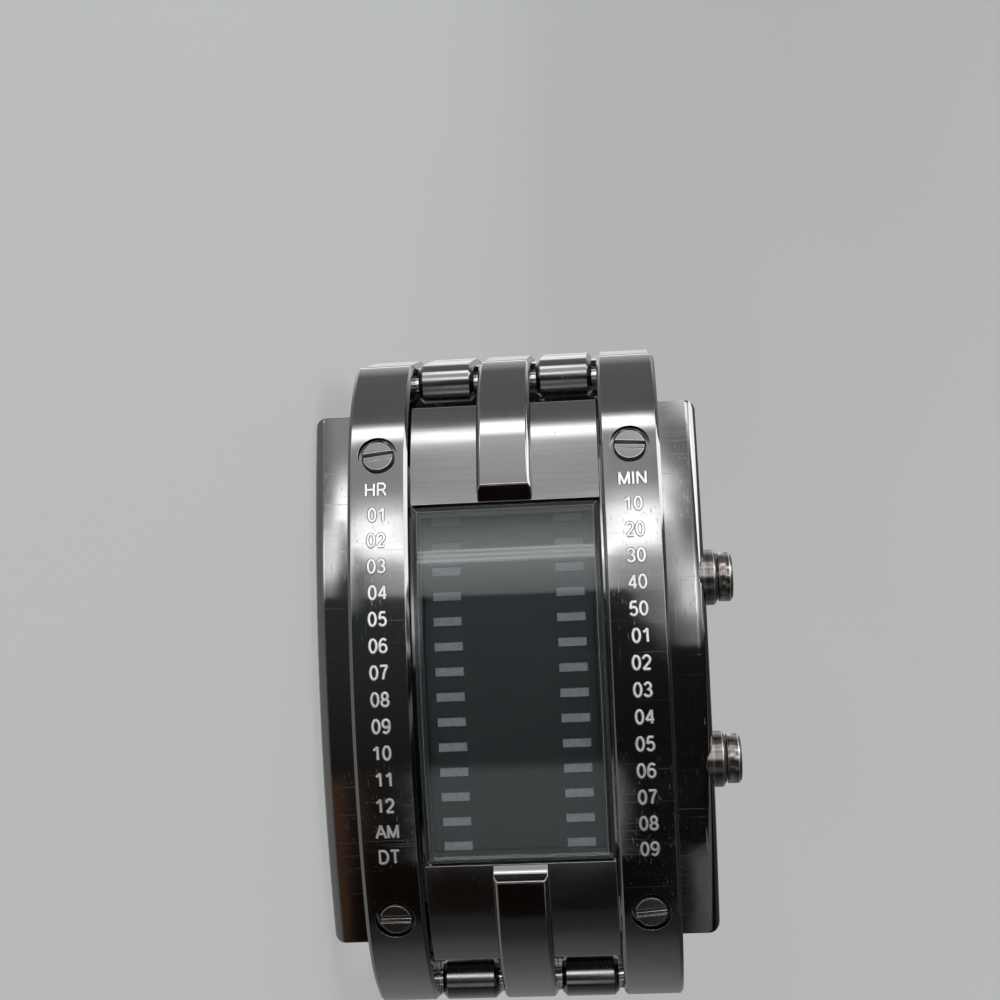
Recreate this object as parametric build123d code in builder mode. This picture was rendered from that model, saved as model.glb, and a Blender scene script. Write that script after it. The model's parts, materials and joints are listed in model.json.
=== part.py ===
from build123d import *
import math
import os

# A binary watch on a link bracelet, closed as it is worn, lying on its nine o'clock side.
# +Z points at the pushers, the display looks towards -Y, twelve o'clock is -X and six o'clock is +X.
# The origin is at the middle of the bounding box's underside. Lengths are in millimetres, angles in degrees.

# Case and rails
rail_span = 27.0
rail_width = 5.2
rail_height = 2.6
case_radius = 61.0
main_arc_reach = 19.75
bend_radius = 15.5
end_slope = 62.0
rail_edge = 0.3
case_thickness = 11.0
case_back_thickness = 1.1
side_plate_thickness = 3.3
side_plate_reach = 23.05
side_plate_shift = 0.65
side_plate_drop = 2.9
side_plate_end_drop = 6.6
side_plate_edge = 1.0
seam_gap = 0.05

# Window, end covers and ribs
window_reach = 15.1
window_drop = 0.4
window_thickness = 1.5
window_edge = 0.35
window_side_gap = 0.4
cover_drop = 1.0
cover_start = 15.4
cover_link_gap = 0.58
cover_side_gap = 0.15
rib_width = 4.7
rib_facet = 1.45

# Rail screws
rail_screw_slope = 19.5
rail_screw_ring_radius = 1.7
rail_screw_ring_depth = 0.7
rail_screw_head_radius = 1.38
rail_screw_head_height = 1.0
rail_screw_head_drop = 0.12
rail_screw_shank_radius = 0.8
rail_screw_length = 5.2
screw_slot_width = 0.5
screw_slot_depth = 0.4
screw_clearance = 0.05
rail_screw_slot_turns = (6.0, -4.0, 0.0, 5.0)

# Display
display_reach = 14.2
seal_height = 0.65
seal_width = 0.8
seal_side_gap = 0.2
mask_drop = 2.7
mask_thickness = 0.5
bar_length = 2.4
bar_width = 0.7
bar_pitch = 2.12
bars_per_column = 14
column_margin = 0.82
bar_clearance = 0.05
led_length = 1.6
led_width = 0.6
led_height = 0.45
board_depth = 5.85
board_thickness = 0.8
board_margin = 0.25
chip_size = 4.0
chip_height = 0.8
crystal_radius = 0.75
crystal_length = 5.0
crystal_place = 7.0

# Battery chamber and case back
chamber_reach = 18.2
chamber_half_width = 9.0
chamber_depth = 6.6
chamber_corner = 2.0
frame_margin = 0.2
frame_floor = 0.8
cell_radius = 8.0
cell_height = 2.0
cell_cap_radius = 6.6
cell_cap_step = 0.25
cell_gap = 0.6
cell_clearance = 0.2
strap_reach = 12.0
strap_half_width = 2.0
strap_thickness = 0.15
back_end_margin = 1.23
back_half_width = 11.8
back_edge = 0.3
back_seal_gap = 0.35
back_seal_width = 0.6
back_seal_height = 0.5
back_screw_wall = 0.42
back_screw_across = 10.4
back_screw_head_radius = 1.05
back_screw_head_height = 0.6
back_screw_shank_radius = 0.6
back_screw_length = 1.7

# Pushers
pusher_along = 7.8
pusher_depth = 5.85
pusher_shift = 0.35
pusher_travel = 0.9
head_radius = 2.12
head_proud = 1.45
head_length = 3.0
head_edge = 0.25
collar_radius = 2.4
collar_proud = 0.93
collar_edge = 0.15
tube_length = 5.6
tube_floor = 1.4
stem_radius = 0.75
running_clearance = 0.05
groove_depth = 0.2
clip_thickness = 0.3
clip_radius = 1.0
clip_mouth = 0.9
clip_end_reach = 0.65
clip_to_end = 0.75
pusher_bay_margin = 0.3
stem_gap = 0.1
ring_section = 0.19
ring_groove_width = 0.6
ring_groove_depth = 0.4
ring_groove_place = 1.2
spring_wire_radius = 0.15
spring_radius = 1.3
spring_turns = 4
spring_seat_gap = 0.05
contact_thickness = 0.15
contact_half_width = 1.2
contact_reach = 0.8

# Bracelet
links_per_side = 5
link_pitch = 9.2
knuckle_radius = 1.8
knuckle_gap = 0.25
block_side_gap = 0.475
link_web_recess = 0.45
link_edge = 0.4
first_link_slope = 80.0
link_turn = 12.5
pin_radius = 0.6
pin_end_recess = 0.3

# Clasp
clasp_radius = 36.0
leaf_thickness = 1.0
leaf_gap = 0.3
cover_thickness = 1.2
adjust_run = 7.5
cover_setback = 4.6
leaf_half_width = 6.0
inner_leaf_half_width = 7.35
middle_knuckle_half_width = 2.4
leaf_knuckle_gap = 0.2
cover_wall_thickness = 1.2
cover_wall_gap = 0.3
cover_wall_drop = 1.5
clasp_edge = 0.3
clasp_end_gap = 1.0
clasp_pin_radius = 0.5
spring_bar_tip_radius = 0.4
spring_bar_tip_gap = 0.12
spring_bar_shoulder = 0.5
adjust_hole_radius = 0.5
adjust_hole_pitch = 2.4
adjust_holes = 3
catch_length = 3.0
catch_width = 4.0
catch_clearance = 0.3
catch_top_gap = 0.15

# The cuts run this far past what they open
overrun = 1.0

# Places that follow from the sizes above
case_centre = side_plate_thickness + rail_span / 2
case_width = rail_span + 2 * side_plate_thickness
bay_half_width = rail_span / 2 - rail_width
rail_middle = rail_span / 2 - rail_width / 2
case_floor = case_thickness - case_back_thickness
display_half_width = bay_half_width - seal_side_gap - seal_width
column_offset = display_half_width - column_margin - bar_length / 2
main_arc_slope = math.degrees(math.asin(main_arc_reach / case_radius))
bend_centre_along = (case_radius - bend_radius) * math.sin(math.radians(main_arc_slope))
bend_centre_depth = case_radius - (case_radius - bend_radius) * math.cos(math.radians(main_arc_slope))


def bend_point(slope, below=0):
    """A point (along, depth) of the rails' end bend, below its surface, where it slopes this much."""
    reach = bend_radius - below
    turn = math.radians(slope)
    return bend_centre_along + reach * math.sin(turn), bend_centre_depth - reach * math.cos(turn)


def main_point(slope, below=0):
    """A point (along, depth) of the rails' main arc, below its surface, where it slopes this much."""
    reach = case_radius - below
    turn = math.radians(slope)
    return reach * math.sin(turn), case_radius - reach * math.cos(turn)


def main_depth(along, below=0):
    """The depth of the curve that runs this far below the rails' main arc."""
    return case_radius - math.sqrt((case_radius - below) ** 2 - along**2)


# The bracelet hangs from the rails' ends and turns inwards link by link
lug = bend_point(end_slope, knuckle_radius)
hinges = [lug]
for step in range(links_per_side):
    heading = math.radians(first_link_slope + step * link_turn)
    last_along, last_depth = hinges[-1]
    hinges.append((last_along + link_pitch * math.cos(heading), last_depth + link_pitch * math.sin(heading)))

# The clasp is an arc between the last hinges of the two halves
clasp_half_angle = math.asin(hinges[-1][0] / clasp_radius)
clasp_centre_depth = hinges[-1][1] - clasp_radius * math.cos(clasp_half_angle)
clasp_half_run = clasp_radius * clasp_half_angle
cover_inside = -knuckle_radius + 2 * leaf_thickness + 2 * leaf_gap
cover_outside = cover_inside + cover_thickness
overall_depth = clasp_centre_depth + clasp_radius + cover_outside
case_top = -overall_depth / 2
clasp_centre_y = case_top + clasp_centre_depth

# The clasp's hinges, as runs along its arc from the middle and offsets from its hinge line
blade_hinge_run = -clasp_half_run + adjust_run
blade_hinge_offset = -knuckle_radius + leaf_thickness + leaf_gap / 2
blade_knuckle_radius = leaf_thickness + leaf_gap / 2
cover_hinge_run = clasp_half_run - cover_setback
middle_leaf_inside = -knuckle_radius + leaf_thickness + leaf_gap
middle_leaf_outside = middle_leaf_inside + leaf_thickness
cover_hinge_offset = (middle_leaf_inside + cover_outside) / 2
cover_knuckle_radius = (cover_outside - middle_leaf_inside) / 2

# The rails' underside runs from the end of the main arc straight to the lug's round end
shoulder = main_point(main_arc_slope, rail_height)
shoulder_to_lug = math.dist(shoulder, lug)
flank_length = math.sqrt(shoulder_to_lug**2 - knuckle_radius**2)
flank_heading = math.atan2(lug[1] - shoulder[1], lug[0] - shoulder[0])
flank_heading += math.asin(knuckle_radius / shoulder_to_lug)
heel_along = shoulder[0] + flank_length * math.cos(flank_heading)
heel = (heel_along, shoulder[1] + flank_length * math.sin(flank_heading))
flank_run_share = 1 / math.tan(flank_heading)

# The pushers' places along their axis
collar_top = case_width + collar_proud
head_top = collar_top + head_proud
head_bottom = head_top - head_length
tube_bottom = collar_top - tube_length
tube_floor_top = tube_bottom + tube_floor
pusher_bay_width = running_clearance + clip_thickness + clip_to_end + pusher_travel + stem_gap
bay_wall = case_centre + display_half_width + pusher_bay_width
clip_top = bay_wall - running_clearance
stem_end = clip_top - clip_thickness - clip_to_end

# The cells' places in the battery chamber
cell_along = cell_radius + cell_gap
cell_top = chamber_depth + seam_gap + frame_floor + seam_gap
cell_bottom = cell_top + cell_height
cell_seat_drop = case_floor - seam_gap - cell_bottom

# The link columns, as the low side and the width of each
block_middle = (rib_width / 2 + bay_half_width) / 2
inner_block_width = bay_half_width - rib_width / 2 - 2 * block_side_gap
inner_columns = [(side * block_middle - inner_block_width / 2, inner_block_width) for side in (-1, 1)]
outer_columns = [(-rail_span / 2, rail_width), (-rib_width / 2, rib_width), (bay_half_width, rail_width)]
hinge_reach = knuckle_radius + knuckle_gap
cover_end = lug[0] - hinge_reach - cover_link_gap
pin_half_length = rail_span / 2 - pin_end_recess

os.makedirs("parts", exist_ok=True)


def on_case(point, side=1):
    """A point of the XY plane from (along, depth), on the six o'clock side or mirrored to the other."""
    return side * point[0], case_top + point[1]


def flank_at_depth(depth):
    """The point of the rails' straight underside at this depth."""
    return shoulder[0] + (depth - shoulder[1]) * flank_run_share, depth


def flank_at_along(along):
    """The point of the rails' straight underside at this distance along."""
    return along, shoulder[1] + (along - shoulder[0]) / flank_run_share


def on_plate(along, depth):
    """A point of the XY plane for the side plates, which lie a little towards twelve o'clock."""
    return on_case((along - side_plate_shift, depth))


def on_clasp(offset, run):
    """A point of the XY plane on the clasp's arc, offset outwards from its hinge line."""
    turn = run / clasp_radius
    reach = clasp_radius + offset
    return reach * math.sin(turn), clasp_centre_y + reach * math.cos(turn)


def save(piece, name, place=Location()):
    """Puts a finished piece in its place, labels it and writes its file."""
    placed = piece.part.moved(place)
    placed.label = name
    export_step(placed, "parts/" + name + ".step")


def case_band(level, upper, lower, reach):
    """A face between two curves below the rails' main arc, cut square at both ends."""
    with BuildSketch(Plane.XY.offset(level)) as band:
        with BuildLine():
            for below in (upper, lower):
                left = on_case((reach, main_depth(reach, below)), -1)
                right = on_case((reach, main_depth(reach, below)))
                ThreePointArc(left, on_case((0, below)), right)
            for side in (-1, 1):
                top = on_case((reach, main_depth(reach, upper)), side)
                Line(top, on_case((reach, main_depth(reach, lower)), side))
        make_face()
    return band.sketch


def block(along, depth_from, depth_to, half_along, half_across, across=0):
    """A box given by its middle along the case, its depths and its half sizes."""
    middle = (along, case_top + (depth_from + depth_to) / 2, case_centre + across)
    with Locations(middle):
        return Box(2 * half_along, depth_to - depth_from, 2 * half_across)


def case_plane(depth, along=0, across=0):
    """A plane that faces the wrist at this depth, with its X along the case and its Y across."""
    origin = (along, case_top + depth, case_centre + across)
    return Plane(origin=origin, x_dir=(-1, 0, 0), z_dir=(0, 1, 0))


def four_corners(along, across):
    """The four places that mirror one another about the middle of the case."""
    return [(x * along, y * across) for x in (-1, 1) for y in (-1, 1)]


def screw_plane(side, edge, below):
    """A plane square to a rail screw, facing out, below the rail's surface."""
    turn = math.radians(rail_screw_slope)
    x, y = on_case(bend_point(rail_screw_slope, below), side)
    origin = (x, y, case_centre + edge * rail_middle)
    return Plane(origin=origin, x_dir=(0, 0, 1), z_dir=(side * math.sin(turn), -math.cos(turn), 0))


screw_places = [(side, edge) for side in (-1, 1) for edge in (-1, 1)]
pusher_alongs = [side * pusher_along - pusher_shift for side in (-1, 1)]
pusher_centres = [on_case((along, pusher_depth)) for along in pusher_alongs]
back_reach = flank_at_depth(case_floor)[0] - back_end_margin
back_screw_along = flank_at_depth(case_floor - back_screw_length)[0] - back_screw_shank_radius - back_screw_wall


# The case

def make_middle_case():
    with BuildPart() as middle_case:
        with BuildSketch(Plane.XY.offset(side_plate_thickness)):
            with BuildLine():
                ThreePointArc(on_case(shoulder, -1), on_case((0, rail_height)), on_case(shoulder))
                corner = flank_at_depth(case_floor)
                for side in (-1, 1):
                    Line(on_case(shoulder, side), on_case(corner, side))
                Line(on_case(corner, -1), on_case(corner))
            make_face()
        extrude(amount=rail_span)
        # the well under the window and the battery chamber under it
        with BuildSketch(case_plane(case_floor)):
            RectangleRounded(2 * chamber_reach, 2 * chamber_half_width, chamber_corner)
        extrude(amount=chamber_depth - case_floor, mode=Mode.SUBTRACT)
        with BuildSketch(case_plane(chamber_depth)):
            Rectangle(2 * display_reach, 2 * display_half_width)
        extrude(amount=-chamber_depth, mode=Mode.SUBTRACT)
        # the bay where the pushers' stems end
        bay_half = clip_radius + pusher_bay_margin
        bay_across = display_half_width + pusher_bay_width / 2
        with BuildSketch(case_plane(pusher_depth + bay_half)):
            with Locations((pusher_shift, bay_across)):
                Rectangle(2 * (pusher_along + bay_half), pusher_bay_width)
        extrude(amount=-2 * bay_half, mode=Mode.SUBTRACT)
        # the groove for the back seal
        with BuildSketch(case_plane(case_floor)):
            ring_outline(back_seal_gap + back_seal_width)
            ring_outline(back_seal_gap, mode=Mode.SUBTRACT)
        extrude(amount=-back_seal_height, mode=Mode.SUBTRACT)
        # screw holes from above and below, and the pushers' holes from the side
        for side, edge in screw_places:
            with BuildSketch(screw_plane(side, edge, 0)):
                Circle(rail_screw_shank_radius + screw_clearance)
            extrude(amount=-rail_screw_length - screw_clearance, mode=Mode.SUBTRACT)
        with BuildSketch(case_plane(case_floor)):
            with Locations(four_corners(back_screw_along, back_screw_across)):
                Circle(back_screw_shank_radius + screw_clearance)
        extrude(amount=-back_screw_length, mode=Mode.SUBTRACT)
        with BuildSketch(Plane.XY.offset(tube_bottom)):
            with Locations(pusher_centres):
                Circle(collar_radius + screw_clearance)
        extrude(amount=tube_length, mode=Mode.SUBTRACT)
        with BuildSketch(Plane.XY.offset(bay_wall - overrun)):
            with Locations(pusher_centres):
                Circle(stem_radius + 2 * running_clearance)
        extrude(amount=tube_bottom - bay_wall + overrun, mode=Mode.SUBTRACT)
    save(middle_case, "middle_case")


def ring_outline(margin, mode=Mode.ADD):
    """The battery chamber's outline, widened by a margin."""
    RectangleRounded(
        2 * (chamber_reach + margin),
        2 * (chamber_half_width + margin),
        chamber_corner + margin,
        mode=mode,
    )


def make_side_plate(name, level, pusher_holes):
    with BuildPart() as plate:
        with BuildSketch(Plane.XY.offset(level)):
            with BuildLine():
                top_ends = [on_plate(side * side_plate_reach, side_plate_end_drop) for side in (-1, 1)]
                floor_ends = [on_plate(side * side_plate_reach, case_floor) for side in (-1, 1)]
                ThreePointArc(top_ends[0], on_plate(0, side_plate_drop), top_ends[1])
                for top_end, floor_end in zip(top_ends, floor_ends):
                    Line(top_end, floor_end)
                Line(*floor_ends)
            make_face()
        extrude(amount=side_plate_thickness)
        outer_face = plate.faces().sort_by(Axis.Z)[-1 if pusher_holes else 0]
        fillet(outer_face.edges(), radius=side_plate_edge)
        if pusher_holes:
            with BuildSketch(Plane.XY.offset(level)):
                with Locations(pusher_centres):
                    Circle(collar_radius + screw_clearance)
            extrude(amount=side_plate_thickness, mode=Mode.SUBTRACT)
    save(plate, name)


def lug_arc(side):
    """The round end of a rail or rib about its hinge, from the outer surface to the underside."""
    turn = math.radians(end_slope)
    tip = (lug[0] + knuckle_radius * math.cos(turn), lug[1] + knuckle_radius * math.sin(turn))
    ThreePointArc(on_case(bend_point(end_slope), side), on_case(tip, side), on_case(heel, side))


def make_rail(name, edge):
    level = case_centre + edge * rail_middle - rail_width / 2
    bend_middle = (main_arc_slope + end_slope) / 2
    with BuildPart() as rail:
        with BuildSketch(Plane.XY.offset(level)):
            with BuildLine():
                crest = main_point(main_arc_slope)
                ThreePointArc(on_case(crest, -1), on_case((0, 0)), on_case(crest))
                ThreePointArc(on_case(shoulder, -1), on_case((0, rail_height)), on_case(shoulder))
                for side in (-1, 1):
                    bend_end = on_case(bend_point(end_slope), side)
                    ThreePointArc(on_case(crest, side), on_case(bend_point(bend_middle), side), bend_end)
                    lug_arc(side)
                    Line(on_case(heel, side), on_case(shoulder, side))
            make_face()
        extrude(amount=rail_width)
        crest_edges = rail.edges().filter_by(GeomType.CIRCLE).sort_by(SortBy.RADIUS)[-2:]
        chamfer(crest_edges, length=rail_edge)
        with BuildSketch(Plane.XY.offset(level)):
            with Locations([on_case(lug, side) for side in (-1, 1)]):
                Circle(pin_radius + running_clearance)
        extrude(amount=rail_width, mode=Mode.SUBTRACT)
        for side in (-1, 1):
            with BuildSketch(screw_plane(side, edge, rail_screw_ring_depth)):
                Circle(rail_screw_ring_radius)
            extrude(amount=overrun, mode=Mode.SUBTRACT)
            head_seat = rail_screw_head_drop + rail_screw_head_height
            with BuildSketch(screw_plane(side, edge, head_seat)):
                Circle(rail_screw_head_radius + screw_clearance)
            extrude(amount=rail_screw_head_height, mode=Mode.SUBTRACT)
            with BuildSketch(screw_plane(side, edge, head_seat)):
                Circle(rail_screw_shank_radius + screw_clearance)
            extrude(amount=-rail_height, mode=Mode.SUBTRACT)
    save(rail, name)


def make_end_cover(name, side):
    level = case_centre - bay_half_width + cover_side_gap
    start = cover_start
    crest = main_point(main_arc_slope, cover_drop)
    reach = bend_radius - cover_drop
    end_slope_here = math.degrees(math.asin((cover_end - bend_centre_along) / reach))
    middle_slope = (main_arc_slope + end_slope_here) / 2
    along_middle = (start + shoulder[0]) / 2
    with BuildPart() as cover:
        with BuildSketch(Plane.XY.offset(level)):
            with BuildLine():
                first = on_case((start, main_depth(start, cover_drop)), side)
                middle = on_case((along_middle, main_depth(along_middle, cover_drop)), side)
                ThreePointArc(first, middle, on_case(crest, side))
                last = on_case(bend_point(end_slope_here, cover_drop), side)
                ThreePointArc(on_case(crest, side), on_case(bend_point(middle_slope, cover_drop), side), last)
                Line(last, on_case(flank_at_along(cover_end), side))
                Line(on_case(flank_at_along(cover_end), side), on_case(shoulder, side))
                middle = on_case((along_middle, main_depth(along_middle, rail_height)), side)
                under = on_case((start, main_depth(start, rail_height)), side)
                ThreePointArc(on_case(shoulder, side), middle, under)
                Line(under, first)
            make_face()
        extrude(amount=2 * (bay_half_width - cover_side_gap))
    save(cover, name)


def make_rib(name, side):
    level = case_centre - rib_width / 2
    facet_end = cover_start + rib_facet
    crest = main_point(main_arc_slope)
    bend_middle = (main_arc_slope + end_slope) / 2
    foot = main_point(main_arc_slope, cover_drop)
    back = cover_end + seam_gap
    back_slope = math.degrees(math.asin((back - bend_centre_along) / (bend_radius - cover_drop)))
    back_middle = (main_arc_slope + back_slope) / 2
    with BuildPart() as rib:
        with BuildSketch(Plane.XY.offset(level)):
            with BuildLine():
                toe = on_case((cover_start, main_depth(cover_start, cover_drop)), side)
                brow = on_case((facet_end, main_depth(facet_end)), side)
                Line(toe, brow)
                along = (facet_end + crest[0]) / 2
                ThreePointArc(brow, on_case((along, main_depth(along)), side), on_case(crest, side))
                bend_end = on_case(bend_point(end_slope), side)
                ThreePointArc(on_case(crest, side), on_case(bend_point(bend_middle), side), bend_end)
                lug_arc(side)
                Line(on_case(heel, side), on_case(flank_at_along(back), side))
                back_top = on_case(bend_point(back_slope, cover_drop), side)
                middle = on_case(bend_point(back_middle, cover_drop), side)
                Line(on_case(flank_at_along(back), side), back_top)
                ThreePointArc(back_top, middle, on_case(foot, side))
                along = (cover_start + foot[0]) / 2
                ThreePointArc(on_case(foot, side), on_case((along, main_depth(along, cover_drop)), side), toe)
            make_face()
        extrude(amount=rib_width)
        crest_edges = rib.edges().filter_by(GeomType.CIRCLE).sort_by(SortBy.RADIUS)[-2:]
        chamfer(crest_edges, length=rail_edge)
        with BuildSketch(Plane.XY.offset(level)):
            with Locations(on_case(lug, side)):
                Circle(pin_radius + running_clearance)
        extrude(amount=rib_width, mode=Mode.SUBTRACT)
    save(rib, name)


def make_rail_screws():
    with BuildPart() as screws:
        for (side, edge), slot_turn in zip(screw_places, rail_screw_slot_turns):
            with BuildSketch(screw_plane(side, edge, rail_screw_head_drop)):
                Circle(rail_screw_head_radius)
            extrude(amount=-rail_screw_head_height)
            with BuildSketch(screw_plane(side, edge, rail_screw_head_drop)):
                Circle(rail_screw_shank_radius)
            extrude(amount=-rail_screw_length + rail_screw_head_drop)
            with BuildSketch(screw_plane(side, edge, rail_screw_head_drop)):
                with Locations(Rotation(0, 0, slot_turn)):
                    Rectangle(2 * rail_screw_head_radius + overrun, screw_slot_width)
            extrude(amount=-screw_slot_depth, mode=Mode.SUBTRACT)
    save(screws, "rail_screws")


# The window and the display under it

def make_window_lens():
    half_width = bay_half_width - window_side_gap
    band = case_band(case_centre - half_width, window_drop, window_drop + window_thickness, window_reach)
    with BuildPart() as window_lens:
        extrude(band, amount=2 * half_width)
        rim = window_lens.faces().filter_by(GeomType.CYLINDER).sort_by(Axis.Y)[0].edges()
        chamfer(rim, length=window_edge)
    save(window_lens, "window_lens")


def make_window_seal():
    half_width = display_half_width + seal_width
    reach = display_reach + seal_width
    band = case_band(case_centre - half_width, rail_height - seal_height, rail_height, reach)
    with BuildPart() as window_seal:
        extrude(band, amount=2 * half_width)
        with BuildSketch(case_plane(chamber_depth)):
            Rectangle(2 * display_reach, 2 * display_half_width)
        extrude(amount=-chamber_depth, mode=Mode.SUBTRACT)
    save(window_seal, "window_seal")


def bar_places():
    """The place of every light bar: along the case and across it."""
    middle = (bars_per_column - 1) / 2
    rows = [(row - middle) * bar_pitch for row in range(bars_per_column)]
    return [(along, column * column_offset) for column in (-1, 1) for along in rows]


def make_display_mask():
    half_width = display_half_width - bar_clearance
    lower = mask_drop + mask_thickness
    band = case_band(case_centre - half_width, mask_drop, lower, display_reach - bar_clearance)
    with BuildPart() as display_mask:
        extrude(band, amount=2 * half_width)
        with BuildSketch(case_plane(board_depth)):
            with Locations([(-along, across) for along, across in bar_places()]):
                Rectangle(bar_width + 2 * bar_clearance, bar_length + 2 * bar_clearance)
        extrude(amount=-board_depth, mode=Mode.SUBTRACT)
    save(display_mask, "display_mask")


def make_light_bars():
    floor = board_depth - led_height - bar_clearance
    with BuildPart() as light_bars:
        for along, across in bar_places():
            block(along, main_depth(along, mask_drop), floor, bar_width / 2, bar_length / 2, across)
    save(light_bars, "light_bars")


def make_led_chips():
    with BuildPart() as led_chips:
        for along, across in bar_places():
            block(along, board_depth - led_height, board_depth, led_width / 2, led_length / 2, across)
    save(led_chips, "led_chips")


def make_circuit_board():
    reach = display_reach - board_margin
    half_width = display_half_width - board_margin
    with BuildPart() as circuit_board:
        block(0, board_depth, board_depth + board_thickness - seam_gap, reach, half_width)
    save(circuit_board, "circuit_board")


def make_controller_chip():
    with BuildPart() as controller_chip:
        block(0, board_depth - chip_height, board_depth, chip_size / 2, chip_size / 2)
    save(controller_chip, "controller_chip")


def make_quartz_crystal():
    level = case_centre - crystal_length / 2
    with BuildPart() as quartz_crystal:
        with BuildSketch(Plane.XY.offset(level)):
            with Locations(on_case((crystal_place, board_depth - crystal_radius))):
                Circle(crystal_radius)
        extrude(amount=crystal_length)
    save(quartz_crystal, "quartz_crystal")


def make_pusher_contacts():
    edge = display_half_width - board_margin + contact_thickness / 2
    low = board_depth + board_thickness / 2
    with BuildPart() as pusher_contacts:
        for place in pusher_alongs:
            block(place, pusher_depth - contact_reach, low, contact_half_width, contact_thickness / 2, edge)
    save(pusher_contacts, "pusher_contacts")


# The battery chamber

def make_module_frame():
    frame_top = chamber_depth + seam_gap
    frame_bottom = case_floor - seam_gap
    with BuildPart() as module_frame:
        with BuildSketch(case_plane(frame_bottom)):
            ring_outline(-frame_margin)
        extrude(amount=frame_top - frame_bottom)
        with BuildSketch(case_plane(frame_bottom)):
            with Locations([(side * cell_along, 0) for side in (-1, 1)]):
                Circle(cell_radius + cell_clearance)
        extrude(amount=frame_top + frame_floor - frame_bottom, mode=Mode.SUBTRACT)
        with BuildSketch(case_plane(frame_bottom)):
            Rectangle(2 * strap_reach + 2 * frame_margin, 2 * strap_half_width + 2 * frame_margin)
        extrude(amount=-cell_seat_drop, mode=Mode.SUBTRACT)
    save(module_frame, "module_frame")


def make_coin_cells():
    with BuildPart() as coin_cells:
        for side in (-1, 1):
            with BuildSketch(case_plane(cell_bottom, side * cell_along)):
                Circle(cell_radius)
            extrude(amount=cell_cap_step - cell_height)
            with BuildSketch(case_plane(cell_top + cell_cap_step, side * cell_along)):
                Circle(cell_cap_radius)
            extrude(amount=-cell_cap_step)
    save(coin_cells, "coin_cells")


def make_battery_strap():
    with BuildPart() as battery_strap:
        block(0, cell_bottom, cell_bottom + strap_thickness, strap_reach, strap_half_width)
    save(battery_strap, "battery_strap")


def make_back_seal():
    with BuildPart() as back_seal:
        with BuildSketch(case_plane(case_floor)):
            ring_outline(back_seal_gap + back_seal_width - seam_gap)
            ring_outline(back_seal_gap + seam_gap, mode=Mode.SUBTRACT)
        extrude(amount=seam_gap - back_seal_height)
    save(back_seal, "back_seal")


def make_case_back():
    with BuildPart() as case_back:
        with BuildSketch(case_plane(case_floor)):
            RectangleRounded(2 * back_reach, 2 * back_half_width, chamber_corner)
        extrude(amount=case_back_thickness)
        chamfer(case_back.faces().sort_by(Axis.Y)[-1].edges(), length=back_edge)
        with BuildSketch(case_plane(case_floor)):
            with Locations(four_corners(back_screw_along, back_screw_across)):
                Circle(back_screw_shank_radius + screw_clearance)
        extrude(amount=case_back_thickness, mode=Mode.SUBTRACT)
        with BuildSketch(case_plane(case_thickness)):
            with Locations(four_corners(back_screw_along, back_screw_across)):
                Circle(back_screw_head_radius + screw_clearance)
        extrude(amount=-back_screw_head_height, mode=Mode.SUBTRACT)
    save(case_back, "case_back")


def make_back_screws():
    shank_length = back_screw_length - screw_clearance + case_back_thickness - back_screw_head_height
    with BuildPart() as back_screws:
        with BuildSketch(case_plane(case_thickness)):
            with Locations(four_corners(back_screw_along, back_screw_across)):
                Circle(back_screw_head_radius)
        extrude(amount=-back_screw_head_height)
        with BuildSketch(case_plane(case_thickness - back_screw_head_height)):
            with Locations(four_corners(back_screw_along, back_screw_across)):
                Circle(back_screw_shank_radius)
        extrude(amount=-shank_length)
        with BuildSketch(case_plane(case_thickness)):
            with Locations(four_corners(back_screw_along, back_screw_across)):
                Rectangle(2 * back_screw_head_radius, screw_slot_width)
        extrude(amount=-screw_slot_depth, mode=Mode.SUBTRACT)
    save(back_screws, "back_screws")


# The pushers

def make_pusher_tubes():
    with BuildPart() as pusher_tubes:
        with BuildSketch(Plane.XY.offset(tube_bottom)):
            with Locations(pusher_centres):
                Circle(collar_radius)
        extrude(amount=tube_length)
        chamfer(pusher_tubes.faces().group_by(Axis.Z)[-1].edges(), length=collar_edge)
        with BuildSketch(Plane.XY.offset(tube_floor_top)):
            with Locations(pusher_centres):
                Circle(head_radius + running_clearance)
        extrude(amount=tube_length, mode=Mode.SUBTRACT)
        with BuildSketch(Plane.XY.offset(tube_bottom)):
            with Locations(pusher_centres):
                Circle(stem_radius + running_clearance)
        extrude(amount=tube_length, mode=Mode.SUBTRACT)
    save(pusher_tubes, "pusher_tubes")


def make_pusher(name, centre):
    with BuildPart() as pusher:
        with BuildSketch(Plane.XY.offset(head_bottom)):
            with Locations(centre):
                Circle(head_radius)
        extrude(amount=head_length)
        chamfer(pusher.faces().sort_by(Axis.Z)[-1].edges(), length=head_edge)
        with BuildSketch(Plane.XY.offset(stem_end)):
            with Locations(centre):
                Circle(stem_radius)
        extrude(amount=head_bottom - stem_end)
        # the grooves for the sealing ring and the clip
        with BuildSketch(Plane.XY.offset(head_bottom + ring_groove_place)):
            with Locations(centre):
                Circle(head_radius)
                Circle(head_radius - ring_groove_depth, mode=Mode.SUBTRACT)
        extrude(amount=ring_groove_width, mode=Mode.SUBTRACT)
        with BuildSketch(Plane.XY.offset(clip_top - clip_thickness - seam_gap)):
            with Locations(centre):
                Circle(stem_radius)
                Circle(stem_radius - groove_depth, mode=Mode.SUBTRACT)
        extrude(amount=clip_thickness + 2 * seam_gap, mode=Mode.SUBTRACT)
    save(pusher, name)


def make_pusher_seal(name, centre):
    ring_level = head_bottom + ring_groove_place + ring_groove_width / 2
    ring_radius = head_radius - ring_section
    plane = Plane(origin=(centre[0], centre[1], ring_level))
    with BuildPart(plane) as seal:
        Torus(ring_radius, ring_section)
    save(seal, name)


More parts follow.
